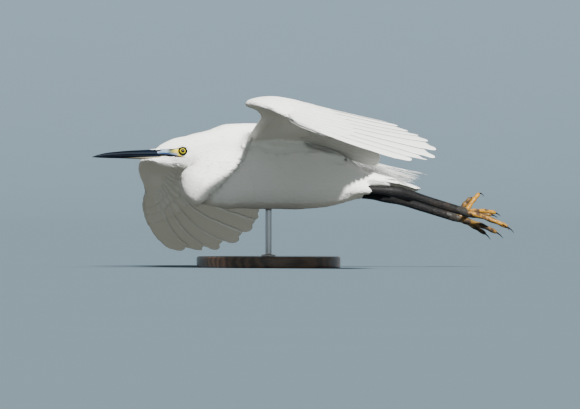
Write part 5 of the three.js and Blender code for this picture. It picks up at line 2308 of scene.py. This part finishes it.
@dataclass
class Egret:
    """The whole bird, piece by piece."""

    plans: tuple[WingPlan, WingPlan] = field(default_factory=lambda: tuple(WingPlan(side) for side in Side))

    def build(self) -> None:
        """Builds and dresses every piece of the bird."""
        white = Plumage("white_plumage").material
        # The flight feathers' greyer roots are painted shade where the coverts and neighbours overlap them.
        flight = Plumage("flight_plumage", root=(0.74, 0.74, 0.72), warmth=0.2, barb_lift=0.00016).material
        skin = Skin(self.plans).build()
        whole = skin.made("body_skin", SkinFinish().material)
        settle(whole, "plumage", "torso", "neck_upper", "neck_lower", "head")
        self.coat(skin, white)
        for plan in self.plans:
            self.wing(plan, flight)
        settle(Tail().build().made("tail_feathers", flight), "plumage", "tail")
        settle(BackPlumes().build().made("back_plumes_fine", white), "plumage", "back_plumes")
        settle(Head(Side.LEFT).short_locks().made("chin_and_forehead_locks", white), "plumage")
        self.face()
        self.legs()

    def coat(self, skin: Surface, material: bpy.types.Material) -> None:
        """The small feathers, in pieces by region.

        Args:
            skin: the skin they grow on.
            material: their finish.
        """
        coat = Coat(skin, self.plans, NeckEdge())
        roots, outward = coat.roots()
        on, _, _ = coat.wing_share(roots)
        x, y, _ = roots.T
        body = on == 0
        regions = {"head_feathers": body & (x > 50)}
        for name, front, back in (("neck", 50, 8), ("breast", 8, -50), ("flank", -50, -120)):
            band = body & (x <= front) & (x > back)
            regions[f"{name}_feathers_left"] = band & (y > 0)
            regions[f"{name}_feathers_right"] = band & (y <= 0)
        regions["rump_feathers"] = body & (x <= -120)
        regions["wing_left_small_feathers"] = on > 0
        regions["wing_right_small_feathers"] = on < 0
        for name, mine in regions.items():
            settle(coat.lay(roots[mine], outward[mine]).made(name, material), "plumage")
            LOG.info("%s: %d feathers", name, int(mine.sum()))

    def wing(self, plan: WingPlan, material: bpy.types.Material) -> None:
        """One wing's feathers.

        Args:
            plan: the wing's plan.
            material: the feathers' finish.
        """
        side = plan.side.name.lower()
        nodes = {"flight_feathers": (f"wing_{side}_arm", f"wing_{side}_hand")}
        for name, surface in Wing(plan).build().items():
            settle(surface.made(f"wing_{side}_{name}", material), "plumage", *nodes.get(name, ()))

    def face(self) -> None:
        """Bill, eyes, lids, bare skin and mouth."""
        bill = Bill()
        upper = HornFinish("bill_upper_horn").material
        lower = HornFinish("bill_lower_horn", base=(0.62, 0.56, 0.42)).material
        settle(bill.half(bill.ridge, 0.15).made("bill_upper_horn", upper), "bill_horn", "bill_upper")
        settle(bill.half(bill.under, -0.15).made("bill_lower_horn", lower), "bill_horn", "bill_lower")
        fold = HornFinish("mouth_fold", (0.0008, 0.0010, 0.0009), (0.0016, 0.0022, 0.0016), shine=0.03)
        eye, bare, line = EyeFinish().material, FaceSkin().material, fold.material
        for side in Side:
            head, name = Head(side), side.name.lower()
            settle(head.eye().made(f"eye_{name}_ball", eye), "iris", f"eye_{name}")
            settle(head.lid().made(f"eye_{name}_lid", line), "bill_horn")
            settle(head.brow().made(f"eye_{name}_brow", line), "bill_horn")
            settle(head.lore().made(f"face_{name}_bare_skin", bare), "bill_horn")
            settle(head.mouth_line().made(f"mouth_{name}_fold", line), "bill_horn")
            settle(head.nostril().made(f"bill_{name}_nostril", line), "bill_horn")

    def legs(self) -> None:
        """Both legs and feet."""
        scales, toes = LegScales().material, ToeSkin().material
        claws = HornFinish("claw_horn", (0.004, 0.003, 0.002), (0.02, 0.011, 0.007)).material
        for side in Side:
            name = side.name.lower()
            # The far foot gets painted shade over all its toes.
            leg = Leg(side, 0.0 if side is Side.LEFT else 0.55)
            settle(leg.shank().made(f"leg_{name}_scaled", scales), "leg_skin", f"leg_{name}")
            settle(leg.foot().made(f"foot_{name}_toes", toes), "toe_skin", f"foot_{name}")
            settle(leg.claws().made(f"foot_{name}_claws", claws), "leg_skin")


def main() -> None:
    """Builds the stand, the bird and the studio."""
    logging.basicConfig(level=logging.INFO, format="%(name)s %(message)s")
    studio = Studio()
    studio.camera()
    studio.lights()
    studio.floor()
    stand = Stand()
    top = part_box("stand_rod")[1].z * 1000
    settle(stand.base(WoodFinish().material), "base_wood", "stand_base")
    settle(stand.rod(top, SteelFinish().material), "rod_steel", "stand_rod")
    Egret().build()


if __name__ == "__main__":
    main()
